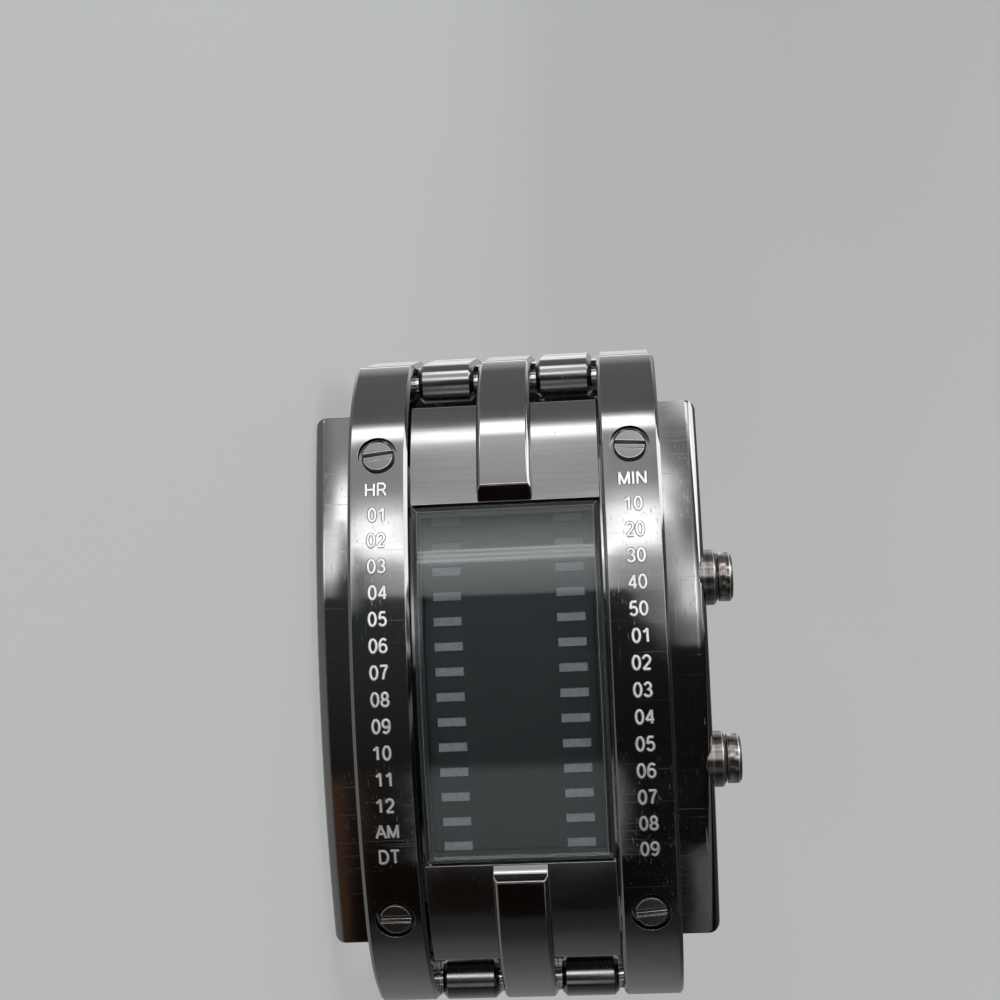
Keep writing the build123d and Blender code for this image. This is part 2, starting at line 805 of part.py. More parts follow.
def make_pusher_clip(name, centre):
    bore = stem_radius - groove_depth + seam_gap
    with BuildPart() as clip:
        with BuildSketch(Plane.XY.offset(clip_top - clip_thickness)):
            with Locations(centre):
                Circle(clip_radius)
                Circle(bore, mode=Mode.SUBTRACT)
            with Locations((centre[0], centre[1] + clip_radius / 2)):
                Rectangle(clip_mouth, clip_radius, mode=Mode.SUBTRACT)
            # the ends are cut straight, so that a pressed clip passes the module
            with Locations((centre[0], centre[1] + clip_end_reach + clip_radius / 2)):
                Rectangle(2 * clip_radius, clip_radius, mode=Mode.SUBTRACT)
        extrude(amount=clip_thickness)
    save(clip, name)


def make_pusher_spring(name, centre):
    low = tube_floor_top + spring_seat_gap + spring_wire_radius
    height = head_bottom - spring_seat_gap - spring_wire_radius - low
    with BuildPart() as spring:
        with BuildLine() as coil:
            Helix(pitch=height / spring_turns, height=height, radius=spring_radius, center=(*centre, low))
        with BuildSketch(Plane(origin=coil.line @ 0, z_dir=coil.line % 0)):
            Circle(spring_wire_radius)
        sweep(is_frenet=True)
    save(spring, name)


# The bracelet

def link_place(number, side):
    """The place of a link: its origin on the hinge nearer the case and its X towards the next."""
    heading = math.radians(first_link_slope + number * link_turn)
    x, y = on_case(hinges[number], side)
    return Plane(origin=(x, y, 0), x_dir=(side * math.cos(heading), math.sin(heading), 0)).location


def make_link(name, number, side):
    with BuildPart() as link:
        for low, width in inner_columns:
            with BuildSketch(Plane.XY.offset(case_centre + low)):
                Circle(knuckle_radius)
                with Locations((link_pitch / 2, 0)):
                    Rectangle(link_pitch, 2 * knuckle_radius)
                with Locations((link_pitch, 0)):
                    Circle(hinge_reach, mode=Mode.SUBTRACT)
            extrude(amount=width)
        for low, width in outer_columns:
            with BuildSketch(Plane.XY.offset(case_centre + low)):
                with Locations((link_pitch, 0)):
                    Circle(knuckle_radius)
                with Locations((link_pitch / 2, 0)):
                    Rectangle(link_pitch, 2 * knuckle_radius)
                Circle(hinge_reach, mode=Mode.SUBTRACT)
            extrude(amount=width)
        straight_edges = link.edges().filter_by(GeomType.LINE)
        chamfer(straight_edges - straight_edges.filter_by(Axis.Z), length=link_edge)
        web_length = link_pitch - 2 * hinge_reach
        with BuildSketch(Plane.XY.offset(case_centre - rail_span / 2 + link_edge)):
            with Locations((link_pitch / 2, 0)):
                Rectangle(web_length, 2 * (knuckle_radius - link_web_recess))
        extrude(amount=rail_span - 2 * link_edge)
        with BuildSketch(Plane.XY.offset(case_centre - rail_span / 2)):
            with Locations((0, 0), (link_pitch, 0)):
                Circle(pin_radius + running_clearance)
        extrude(amount=rail_span, mode=Mode.SUBTRACT)
    save(link, name, link_place(number, side))


def make_pins(name, centres, radius, half_length):
    with BuildPart() as pins:
        with BuildSketch(Plane.XY.offset(case_centre - half_length)):
            with Locations(centres):
                Circle(radius)
        extrude(amount=2 * half_length)
    save(pins, name)


def make_spring_bar(name, centre):
    """A spring bar with its tips drawn in, just clear of the clasp cover's walls."""
    tip_reach = rail_span / 2 + cover_wall_gap - spring_bar_tip_gap
    body_reach = tip_reach - spring_bar_shoulder
    with BuildPart() as bar:
        for reach, radius in ((tip_reach, spring_bar_tip_radius), (body_reach, pin_radius)):
            with BuildSketch(Plane.XY.offset(case_centre - reach)):
                with Locations(centre):
                    Circle(radius)
            extrude(amount=2 * reach)
    save(bar, name)


# The clasp

def clasp_band(level, inside, outside, start, end):
    """A face between two offsets from the clasp's hinge line and two runs along its arc."""
    middle = (start + end) / 2
    with BuildSketch(Plane.XY.offset(level)) as band:
        with BuildLine():
            for offset in (inside, outside):
                ThreePointArc(on_clasp(offset, start), on_clasp(offset, middle), on_clasp(offset, end))
            for run in (start, end):
                Line(on_clasp(inside, run), on_clasp(outside, run))
        make_face()
    return band.sketch


def disc(level, centre, radius):
    """A round face about a point of the XY plane."""
    with BuildSketch(Plane.XY.offset(level)) as face:
        with Locations(centre):
            Circle(radius)
    return face.sketch


blade_hinge = on_clasp(blade_hinge_offset, blade_hinge_run)
cover_hinge = on_clasp(cover_hinge_offset, cover_hinge_run)
bar_hinge = on_clasp(0, clasp_half_run)
adjust_hinge = on_clasp(0, -clasp_half_run)
middle_knuckles = [(-middle_knuckle_half_width, middle_knuckle_half_width)]
side_knuckle_low = middle_knuckle_half_width + leaf_knuckle_gap
side_knuckles = [(-leaf_half_width, -side_knuckle_low), (side_knuckle_low, leaf_half_width)]


def add_knuckles(centre, radius, spans):
    """Adds round knuckles about a hinge over each span across."""
    for low, high in spans:
        extrude(disc(case_centre + low, centre, radius), amount=high - low)


def clear_knuckles(centre, radius, spans, gap=0):
    """Clears room for the other leaf's knuckles over each span across."""
    for low, high in spans:
        room = disc(case_centre + low - gap, centre, radius)
        extrude(room, amount=high - low + 2 * gap, mode=Mode.SUBTRACT)


def bore(centre, radius, half_width):
    """Bores a hinge from side to side."""
    extrude(disc(case_centre - half_width, centre, radius), amount=2 * half_width, mode=Mode.SUBTRACT)


def make_inner_blade():
    outside = -knuckle_radius + leaf_thickness
    half_width = inner_leaf_half_width
    clear = blade_knuckle_radius + knuckle_gap
    with BuildPart() as blade:
        start, end = blade_hinge_run, clasp_half_run
        band = clasp_band(case_centre - half_width, -knuckle_radius, outside, start, end)
        extrude(band, amount=2 * half_width)
        clear_knuckles(bar_hinge, hinge_reach, [(-half_width, half_width)])
        end_knuckles = [(side_knuckle_low, half_width), (-half_width, -side_knuckle_low)]
        for low, high in end_knuckles:
            root = clasp_band(case_centre + low, -knuckle_radius, outside, end - 2 * knuckle_radius, end)
            extrude(root, amount=high - low)
        add_knuckles(bar_hinge, knuckle_radius, end_knuckles)
        clear_knuckles(blade_hinge, clear, side_knuckles, leaf_knuckle_gap)
        add_knuckles(blade_hinge, blade_knuckle_radius, middle_knuckles)
        bore(bar_hinge, pin_radius + running_clearance, half_width)
        bore(blade_hinge, clasp_pin_radius + running_clearance, half_width)
    save(blade, "clasp_inner_blade")


def make_middle_blade():
    half_width = leaf_half_width
    clear_blade = blade_knuckle_radius + knuckle_gap
    clear_cover = cover_knuckle_radius + knuckle_gap
    with BuildPart() as blade:
        start, end = blade_hinge_run, cover_hinge_run
        band = clasp_band(case_centre - half_width, middle_leaf_inside, middle_leaf_outside, start, end)
        extrude(band, amount=2 * half_width)
        clear_knuckles(blade_hinge, clear_blade, middle_knuckles, leaf_knuckle_gap)
        clear_knuckles(cover_hinge, clear_cover, side_knuckles, leaf_knuckle_gap)
        add_knuckles(blade_hinge, blade_knuckle_radius, side_knuckles)
        add_knuckles(cover_hinge, cover_knuckle_radius, middle_knuckles)
        bore(blade_hinge, clasp_pin_radius + running_clearance, half_width)
        bore(cover_hinge, clasp_pin_radius + running_clearance, half_width)
        window_half_run = catch_length / 2 + catch_clearance
        window_half_width = catch_width / 2 + catch_clearance
        window = clasp_band(
            case_centre - window_half_width,
            middle_leaf_inside - leaf_gap / 2,
            middle_leaf_outside + leaf_gap / 2,
            -window_half_run,
            window_half_run,
        )
        extrude(window, amount=2 * window_half_width, mode=Mode.SUBTRACT)
    save(blade, "clasp_middle_blade")


def make_clasp_catch():
    inside = -knuckle_radius + leaf_thickness
    outside = cover_inside - catch_top_gap
    band = clasp_band(case_centre - catch_width / 2, inside, outside, -catch_length / 2, catch_length / 2)
    with BuildPart() as catch:
        extrude(band, amount=catch_width)
    save(catch, "clasp_catch")


def make_clasp_cover():
    inner_half_width = rail_span / 2 + cover_wall_gap
    outer_half_width = inner_half_width + cover_wall_thickness
    shell_start = -clasp_half_run + knuckle_radius + clasp_end_gap
    with BuildPart() as cover:
        start, end = shell_start, cover_hinge_run
        shell = clasp_band(case_centre - outer_half_width, cover_inside, cover_outside, start, end)
        extrude(shell, amount=2 * outer_half_width)
        for level in (case_centre - outer_half_width, case_centre + inner_half_width):
            wall = clasp_band(level, -cover_wall_drop, cover_outside, -clasp_half_run, cover_hinge_run)
            extrude(wall, amount=cover_wall_thickness)
            ear_centre = on_clasp((cover_outside - cover_wall_drop) / 2, -clasp_half_run)
            ear_radius = (cover_outside + cover_wall_drop) / 2
            extrude(disc(level, ear_centre, ear_radius), amount=cover_wall_thickness)
            for hole in range(adjust_holes):
                place = on_clasp(0, -clasp_half_run + hole * adjust_hole_pitch)
                hole_face = disc(level, place, adjust_hole_radius)
                extrude(hole_face, amount=cover_wall_thickness, mode=Mode.SUBTRACT)
        rims = cover.edges().filter_by(GeomType.CIRCLE).filter_by(lambda edge: edge.radius > clasp_radius)
        rims = rims.group_by(SortBy.RADIUS)[-1]
        chamfer(rims.group_by(Axis.Z)[0] + rims.group_by(Axis.Z)[-1], length=clasp_edge)
        clear_cover = cover_knuckle_radius + knuckle_gap
        clear_knuckles(cover_hinge, clear_cover, middle_knuckles, leaf_knuckle_gap)
        add_knuckles(cover_hinge, cover_knuckle_radius, side_knuckles)
        bore(cover_hinge, clasp_pin_radius + running_clearance, leaf_half_width)
    save(cover, "clasp_cover")


make_middle_case()
make_side_plate("left_side_plate", 0, False)
make_side_plate("right_side_plate", case_width - side_plate_thickness, True)
make_rail("left_rail", -1)
make_rail("right_rail", 1)
make_end_cover("upper_end_cover", -1)
make_end_cover("lower_end_cover", 1)
make_rib("upper_rib", -1)
make_rib("lower_rib", 1)
make_rail_screws()
make_window_lens()
make_window_seal()
make_display_mask()
make_light_bars()
make_led_chips()
make_circuit_board()
make_controller_chip()
make_quartz_crystal()
make_pusher_contacts()
make_module_frame()
make_coin_cells()
make_battery_strap()
make_back_seal()
make_case_back()
make_back_screws()
make_pusher_tubes()
for half, centre in zip(("upper", "lower"), pusher_centres):
    make_pusher(half + "_pusher", centre)
    make_pusher_seal(half + "_pusher_seal", centre)
    make_pusher_clip(half + "_pusher_clip", centre)
    make_pusher_spring(half + "_pusher_spring", centre)
make_pins("lug_pins", [on_case(lug, side) for side in (-1, 1)], pin_radius, pin_half_length)
for half, side in (("upper", -1), ("lower", 1)):
    for number in range(links_per_side):
        make_link(f"{half}_link_{number + 1}", number, side)
    for number in range(1, links_per_side):
        make_pins(f"{half}_link_pin_{number}", [on_case(hinges[number], side)], pin_radius, pin_half_length)
make_spring_bar("upper_spring_bar", adjust_hinge)
make_pins("lower_spring_bar", [bar_hinge], pin_radius, pin_half_length)
make_inner_blade()
make_middle_blade()
make_clasp_catch()
make_pins("clasp_hinge_pins", [blade_hinge, cover_hinge], clasp_pin_radius, leaf_half_width)
make_clasp_cover()
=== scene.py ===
# %% [markdown]
# # A binary watch: from a fixed frame to a finished picture
# The watch's metal, glass and electronics come in as solid parts that already have their real size and
# place. This lesson gives them their looks: a camera and a studio first, then the finishes, and then the
# pieces that a solid part can't show well, such as softened edges and fine lettering. Nothing that came in
# is moved.

# %% Load the frame
import json
import math
from functools import partial
import bpy
from mathutils import Matrix, Vector

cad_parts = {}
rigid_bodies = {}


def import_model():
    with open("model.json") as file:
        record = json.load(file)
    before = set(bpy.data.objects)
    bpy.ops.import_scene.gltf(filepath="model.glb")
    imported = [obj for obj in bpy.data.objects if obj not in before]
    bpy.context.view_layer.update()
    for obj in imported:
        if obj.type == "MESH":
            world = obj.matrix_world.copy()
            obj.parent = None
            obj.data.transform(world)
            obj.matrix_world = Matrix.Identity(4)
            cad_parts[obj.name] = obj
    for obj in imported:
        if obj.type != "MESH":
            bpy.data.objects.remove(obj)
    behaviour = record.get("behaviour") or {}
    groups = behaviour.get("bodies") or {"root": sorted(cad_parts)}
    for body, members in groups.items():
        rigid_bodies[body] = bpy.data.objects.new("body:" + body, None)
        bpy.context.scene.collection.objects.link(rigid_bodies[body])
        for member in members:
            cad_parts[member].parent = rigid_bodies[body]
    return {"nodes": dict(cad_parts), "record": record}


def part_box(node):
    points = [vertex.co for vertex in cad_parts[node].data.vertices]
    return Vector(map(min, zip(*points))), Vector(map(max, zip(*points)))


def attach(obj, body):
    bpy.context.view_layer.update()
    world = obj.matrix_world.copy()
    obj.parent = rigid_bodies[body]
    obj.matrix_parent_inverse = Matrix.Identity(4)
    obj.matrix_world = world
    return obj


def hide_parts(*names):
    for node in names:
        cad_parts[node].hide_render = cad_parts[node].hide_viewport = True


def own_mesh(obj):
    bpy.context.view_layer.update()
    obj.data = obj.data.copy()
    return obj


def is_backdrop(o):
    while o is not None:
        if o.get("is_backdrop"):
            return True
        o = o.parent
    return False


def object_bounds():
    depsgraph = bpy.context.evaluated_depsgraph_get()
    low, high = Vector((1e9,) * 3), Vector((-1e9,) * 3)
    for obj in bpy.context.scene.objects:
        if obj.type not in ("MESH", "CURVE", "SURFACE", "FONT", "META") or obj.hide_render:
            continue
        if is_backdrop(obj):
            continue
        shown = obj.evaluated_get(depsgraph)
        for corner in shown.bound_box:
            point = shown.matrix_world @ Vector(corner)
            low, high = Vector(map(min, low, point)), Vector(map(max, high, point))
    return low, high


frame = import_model()
cad_low, cad_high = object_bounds()
millimetre = 0.001
print("nodes", len(frame["nodes"]), "size", [round(side, 4) for side in cad_high - cad_low])

# %% [markdown]
# The watch lies on its nine o'clock side, so the display looks sideways, towards -Y, and twelve o'clock is
# -X. Most places on the dial side are easiest to give as three numbers: how far across from the middle
# line, how far up towards twelve o'clock, and how far out in front of the highest line of the rails.

# %% Places on the dial side
rail_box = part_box("left_rail")
middle_across = (cad_low.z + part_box("right_side_plate")[1].z) / 2
rail_crest = rail_box[0].y
rail_radius = 61 * millimetre
dial_axes = Matrix(((0, -1, 0), (0, 0, -1), (1, 0, 0)))


def dial_place(across, up, out):
    return dial_axes @ Vector((across, up, out)) + Vector((0, rail_crest, middle_across))


print("middle line at z", round(middle_across, 4), "rails' crest at y", round(rail_crest, 4))

# %% [markdown]
# ## The camera
# A hand-held phone took the reference picture from about 14 cm. So close, the near parts look larger than
# the far ones, and only the real distance gives the same shape. The three small turns are those of the
# hand. They come before the shift, because a camera that is turned about the watch and then moved is easier
# to adjust.

# %% Camera
camera_distance = 137.7 * millimetre
camera_shift = Vector((-0.844, 15.351)) * millimetre
# about the camera's own axes, in radians
camera_turns = (("Z", 0.043), ("X", -0.049), ("Y", -0.069))
sensor_width = 36
focal_length = 59.4
nearest_seen = 5 * millimetre
farthest_seen = 20

camera = bpy.data.objects.new("camera", bpy.data.cameras.new("camera"))
bpy.context.scene.collection.objects.link(camera)
camera.data.sensor_width = sensor_width
camera.data.lens = focal_length
camera.data.clip_start = nearest_seen
camera.data.clip_end = farthest_seen
turned = Matrix.Identity(4)
for axis, angle in camera_turns:
    turned = turned @ Matrix.Rotation(angle, 4, axis)
held = Matrix.Translation((camera_shift.x, camera_shift.y, camera_distance))
camera.matrix_world = Matrix.Translation(dial_place(0, 0, 0)) @ dial_axes.to_4x4() @ turned.inverted() @ held
bpy.context.scene.camera = camera
print("camera at", [round(c, 4) for c in camera.matrix_world.translation])

# %% [markdown]
# ## The studio
# The floor is one pale dish. It is flat where the watch lies and rises smoothly all round, so no edge or
# corner shows from any side. A profile of a few points is spun round the upright axis.

# %% Small helpers for modelling by hand
def select_only(thing):
    for other in bpy.context.view_layer.objects:
        other.select_set(other is thing)
    bpy.context.view_layer.objects.active = thing


def nothing_selected():
    select_only(None)


def keep_modifier(thing, kind, **settings):
    """Adds a modifier with these settings and applies it."""
    modifier = thing.modifiers.new(kind.lower(), kind)
    for name, value in settings.items():
        setattr(modifier, name, value)
    select_only(thing)
    bpy.ops.object.modifier_apply(modifier=modifier.name)


# %% Floor dish
def make_floor(flat_radius, rise_radius, steps, spokes, weld):
    nothing_selected()
    bpy.ops.mesh.primitive_plane_add(size=flat_radius, location=(0, 0, 0))
    floor = bpy.context.active_object
    floor.name = "floor"
    bpy.ops.object.mode_set(mode="EDIT")
    bpy.ops.mesh.select_all(action="SELECT")
    bpy.ops.mesh.merge(type="CENTER")
    bpy.ops.mesh.extrude_region_move(TRANSFORM_OT_translate={"value": (flat_radius, 0, 0)})
    for step in range(steps):
        low = math.pi / 2 * step / steps
        high = math.pi / 2 * (step + 1) / steps
        along = rise_radius * (math.sin(high) - math.sin(low))
        rise = rise_radius * (math.cos(low) - math.cos(high))
        bpy.ops.mesh.extrude_region_move(TRANSFORM_OT_translate={"value": (along, 0, rise)})
    bpy.ops.mesh.select_all(action="SELECT")
    bpy.ops.mesh.spin(steps=spokes, angle=2 * math.pi, center=(0, 0, 0), axis=(0, 0, 1))
    bpy.ops.mesh.select_all(action="SELECT")
    bpy.ops.mesh.remove_doubles(threshold=weld)
    bpy.ops.mesh.normals_make_consistent(inside=True)
    bpy.ops.object.mode_set(mode="OBJECT")
    bpy.ops.object.shade_smooth()
    bpy.ops.object.transform_apply(location=True, rotation=True, scale=True)
    return floor


floor = make_floor(flat_radius=0.5, rise_radius=0.45, steps=10, spokes=72, weld=0.5 * millimetre)
floor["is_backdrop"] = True
for seen_by in ("visible_glossy", "visible_diffuse", "visible_transmission", "visible_shadow"):
    setattr(floor, seen_by, False)
print("floor faces", len(floor.data.polygons))

# %% [markdown]
# ## The light
# Dark polished metal shows little of itself and much of the room, so the room is the most important part of
# its looks. The room is drawn on the world as bands about the watch's cross axis: a grey wall behind, three
# thin lamps and a broad one above twelve o'clock, and the dark shape of whoever looks at the watch in
# front. A few small functions make the nodes, so that the room itself reads as a short sum.

# %% Small helpers for node trees
def node_sum(nodes, links, operation, first, second=None, third=None):
    """A Math node between sockets or numbers; gives its output."""
    node = nodes.new("ShaderNodeMath")
    node.operation = operation
    for place, value in enumerate((first, second, third)):
        if isinstance(value, (int, float)):
            node.inputs[place].default_value = value
        elif value is not None:
            links.new(value, node.inputs[place])
    return node.outputs[0]


def node_ramp(nodes, links, source, stops):
    """A colour ramp over a socket; stops are (place from 0 to 1, grey or colour)."""
    node = nodes.new("ShaderNodeValToRGB")
    while len(node.color_ramp.elements) < len(stops):
        node.color_ramp.elements.new(0.5)
    for element, (place, tone) in zip(node.color_ramp.elements, stops):
        element.position = place
        element.color = (tone, tone, tone, 1) if isinstance(tone, (int, float)) else (*tone, 1)
    links.new(source, node.inputs[0])
    return node.outputs[0]


def node_step(nodes, links, source, low, high):
    """A smooth step from 0 at low to 1 at high."""
    node = nodes.new("ShaderNodeMapRange")
    node.interpolation_type = "SMOOTHSTEP"
    links.new(source, node.inputs["Value"])
    node.inputs["From Min"].default_value = low
    node.inputs["From Max"].default_value = high
    return node.outputs[0]


def node_mix(nodes, links, share, first, second):
    """A colour between two sockets or colours."""
    node = nodes.new("ShaderNodeMix")
    node.data_type = "RGBA"
    links.new(share, node.inputs["Factor"])
    for name, value in (("A", first), ("B", second)):
        if isinstance(value, tuple):
            node.inputs[name].default_value = (*value, 1)
        else:
            links.new(value, node.inputs[name])
    return node.outputs["Result"]


# %% [markdown]
# Every direction from the watch has two numbers. One is its angle about the cross axis, from the viewer in
# front (0) over twelve o'clock (90). The other tells how far it points sideways, from the left side of the
# dial to the right. The watch was held with a slight tip to one side, so the middle of the room is tipped
# as well.

# %% Directions in the room
room_tip = 3.9
# a ramp over the side covers this width of it, and turns by this many degrees at most
side_width = 0.6
most_turn = 40

world = bpy.data.worlds.new("studio")
bpy.context.scene.world = world
world.use_nodes = True
nodes, links = world.node_tree.nodes, world.node_tree.links
room_sum = partial(node_sum, nodes, links)
room_step = partial(node_step, nodes, links)
room_mix = partial(node_mix, nodes, links)


def minus(source):
    return room_sum("MULTIPLY", source, -1.0)


def product(*shares):
    whole = shares[0]
    for share in shares[1:]:
        whole = room_sum("MULTIPLY", whole, share)
    return whole


def angle_step(angle, low, high):
    """A smooth step over an angle, whose ends are given in degrees."""
    return room_step(angle, math.radians(low), math.radians(high))


def angle_ramp(angle, bands, scale=1.0):
    """Tones over the full turn; bands are (degrees, grey or colour), and scale divides the greys."""
    place = room_sum("MULTIPLY_ADD", angle, 1 / (2 * math.pi), 0.5)
    scaled = [(turn, tone if isinstance(tone, tuple) else tone / scale) for turn, tone in bands]
    return node_ramp(nodes, links, place, [((turn + 180) / 360, tone) for turn, tone in scaled])


def side_ramp(stops):
    """An angle that depends on the side; stops are (sideways, degrees)."""
    place = room_sum("MULTIPLY_ADD", sideways, 1 / side_width, 0.5)
    shares = [(side / side_width + 0.5, turn / most_turn) for side, turn in stops]
    return room_sum("MULTIPLY", node_ramp(nodes, links, place, shares), math.radians(most_turn))


direction = nodes.new("ShaderNodeSeparateXYZ")
links.new(nodes.new("ShaderNodeTexCoord").outputs["Generated"], direction.inputs[0])
round_angle = room_sum("ARCTAN2", minus(direction.outputs["X"]), minus(direction.outputs["Y"]))
below_angle = minus(round_angle)
sideways = room_sum("ADD", direction.outputs["Z"], math.sin(math.radians(room_tip)))
side_size = room_sum("ABSOLUTE", sideways)
print("room tipped by", room_tip, "degrees")

# %% [markdown]
# ### Wall and lamps
# The picture shows the lamps above twelve o'clock as thin streaks in the window and as one soft band on the
# metal to both sides of it. So the directions that the window mirrors get bands of their own, and the thin
# lamps lie on them. The room is dimmer just beside the rails, where the side plates see it, and far to the
# sides.

# %% Wall and lamps
# each band is (degrees, brightness); the tones in between are blended
brightest = 14.0
room_start = [(-110, 0.42), (-77, 0.2), (-66, 0.09), (-54, 0.06), (-48, 0.03), (6, 0.45), (13, 0.62)]
wall_bands = [(54, 1.8), (57.5, 6.0), (63, 6.6), (66, 2.0), (68.5, 0.5), (76, 0.38),
              (118, 0.38), (138, 1.6), (152, 2.4), (166, 0.8)]
metal_bands = room_start + [(13.8, 0.95), (17, 1.2), (19.5, 1.5), (20.8, 2.1), (22.2, 4.4), (23.2, 5.6),
                            (29, 5.4), (30.6, 3.2), (32.5, 2.1), (35, 1.15), (38, 1.0), (51, 1.0)]
metal_bands += wall_bands
glass_bands = room_start + [(13.8, 1.9), (17.5, 2.8), (20.4, 3.7), (23.3, 3.7), (25.3, 2.8), (28, 1.8),
                            (33, 1.15)] + wall_bands
# three thin lamps: where they are, how far their glow and their even middle reach, and their tone
thin_lamps = (20.85, 21.75, 22.65)
lamp_glow = 0.42
lamp_core = 0.05
lamp_tone = (0.75, 0.75, 0.75)
# how far all the bands are shifted, from the left side to the right: (sideways, degrees)
band_shift = [(-0.098, 8), (-0.091, 0), (0.1, 0), (0.107, 16)]
window_middle = 0.0035
window_start, window_end = 0.0555, 0.058
plates_start, plates_end = (0.097, 0.105), (0.3, 0.2)
plates_dimming = 0.48
far_sides = (0.2, 0.8)
far_dimming = 0.78

off_middle = room_sum("ABSOLUTE", room_sum("SUBTRACT", sideways, window_middle))
in_window = room_step(minus(off_middle), -window_end, -window_start)
band_angle = room_sum("ADD", round_angle, side_ramp(band_shift))
metal_room = angle_ramp(band_angle, metal_bands, brightest)
window_room = angle_ramp(band_angle, glass_bands, brightest)
for lamp in thin_lamps:
    off_lamp = room_sum("ABSOLUTE", room_sum("SUBTRACT", band_angle, math.radians(lamp)))
    window_room = room_mix(angle_step(off_lamp, lamp_glow, lamp_core), window_room, lamp_tone)
bright_room = nodes.new("ShaderNodeVectorMath")
bright_room.operation = "SCALE"
links.new(room_mix(in_window, metal_room, window_room), bright_room.inputs[0])
beside = product(room_step(side_size, *plates_start), room_step(side_size, *plates_end))
to_side = room_sum("MULTIPLY", room_step(side_size, *far_sides), far_dimming)
dimmed = room_sum("MULTIPLY_ADD", beside, plates_dimming, to_side)
links.new(room_sum("MULTIPLY_ADD", dimmed, -brightest, brightest), bright_room.inputs["Scale"])
print("room bands", len(metal_bands), len(glass_bands), "thin lamps", len(thin_lamps))

# %% [markdown]
# ### Dark shape in front
# The lower half of the watch mirrors whoever holds it: a dark shape, black on the right, with a warm arm on
# the left. Two pale patches beside the arms show low in the window and low on the right side plate. Under
# everything is the grey of the floor.

# %% Dark shape in front
viewer_bands = [(-180, (0.012, 0.008, 0.006)), (-40, (0.014, 0.009, 0.007)), (-27, (0.02, 0.012, 0.01)),
                (-20, (0.04, 0.034, 0.032)), (-8, (0.06, 0.058, 0.057)), (6, (0.085, 0.095, 0.097)),
                (24, (0.10, 0.12, 0.122)), (180, (0.10, 0.12, 0.122))]
# where the shape ends above, from the left side to the right: (sideways, degrees), and how soft that edge is
upper_edge = [(-0.098, 10.9), (-0.092, 24), (-0.086, 24), (-0.083, 14.1), (0.053, 13.7), (0.077, 13.9),
              (0.081, 7.8), (0.096, 6.2), (0.104, 0.5)]
edge_softness = 0.4
# steps over the angle in degrees, then over the side
foot_of_shape = (-54, -47)
lower_half = (18, 21.5)
foot_of_patch = (-38, -37)
lowest_part = (32, 36)
right_half = (-0.02, 0.07)
left_plate = (0.091, 0.097)
right_plate = (0.102, 0.108)
floor_side = (0.25, 0.75)
black_share = 0.7
black_tone = (0.012, 0.012, 0.01)
arm_tone = (0.15, 0.08, 0.045)
window_patch_tone = (0.85, 0.90, 0.90)
plate_patch_tone = (0.30, 0.32, 0.31)
floor_tone = (0.42, 0.43, 0.42)

over_edge = room_sum("SUBTRACT", round_angle, side_ramp(upper_edge))
above_shape = angle_step(over_edge, -edge_softness, edge_softness)
above_foot = angle_step(round_angle, *foot_of_shape)
in_shape = room_sum("MAXIMUM", room_sum("SUBTRACT", above_foot, above_shape), 0.0)
in_lower_half = angle_step(below_angle, *lower_half)
viewer = angle_ramp(round_angle, viewer_bands)
viewer = room_mix(room_sum("MULTIPLY", room_step(sideways, *right_half), black_share), viewer, black_tone)
viewer = room_mix(product(room_step(minus(sideways), *left_plate), in_lower_half), viewer, arm_tone)
in_window_patch = product(in_window, in_lower_half, angle_step(round_angle, *foot_of_patch))
viewer = room_mix(in_window_patch, viewer, window_patch_tone)
in_plate_patch = product(room_step(sideways, *right_plate), angle_step(below_angle, *lowest_part))
viewer = room_mix(in_plate_patch, viewer, plate_patch_tone)
room = room_mix(in_shape, bright_room.outputs[0], viewer)
room = room_mix(room_step(minus(direction.outputs["Z"]), *floor_side), room, floor_tone)
links.new(room, nodes["Background"].inputs["Color"])
nodes["Background"].inputs["Strength"].default_value = 1.0
print("viewer bands", len(viewer_bands), "nodes of the room", len(nodes))

# %% [markdown]
# One large soft light from above and in front gives the floor its soft shadow, and shapes the sides.

# %% Soft light
def soft_light(name, place, target, size, power):
    lamp = bpy.data.objects.new(name, bpy.data.lights.new(name, "AREA"))
    bpy.context.scene.collection.objects.link(lamp)
    lamp.data.shape = "RECTANGLE"
    lamp.data.size, lamp.data.size_y = size
    lamp.data.energy = power
    aim = (Vector(target) - Vector(place)).to_track_quat("-Z", "Y")
    lamp.matrix_world = Matrix.Translation(place) @ aim.to_matrix().to_4x4()


soft_light("top_light", place=(-0.25, -0.12, 0.5), target=(0, 0, 0.02), size=(0.35, 0.35), power=1.6)

# %% [markdown]
# ## The finishes
# Each finish starts from the same few steps: a plain colour, then what real use and real tools add to it.
# Grain is a noise that may be drawn out along one axis, as brushing and turning do. It can change the
# colour, the gloss or, pressed in by a few micrometres, the shape of the highlights.

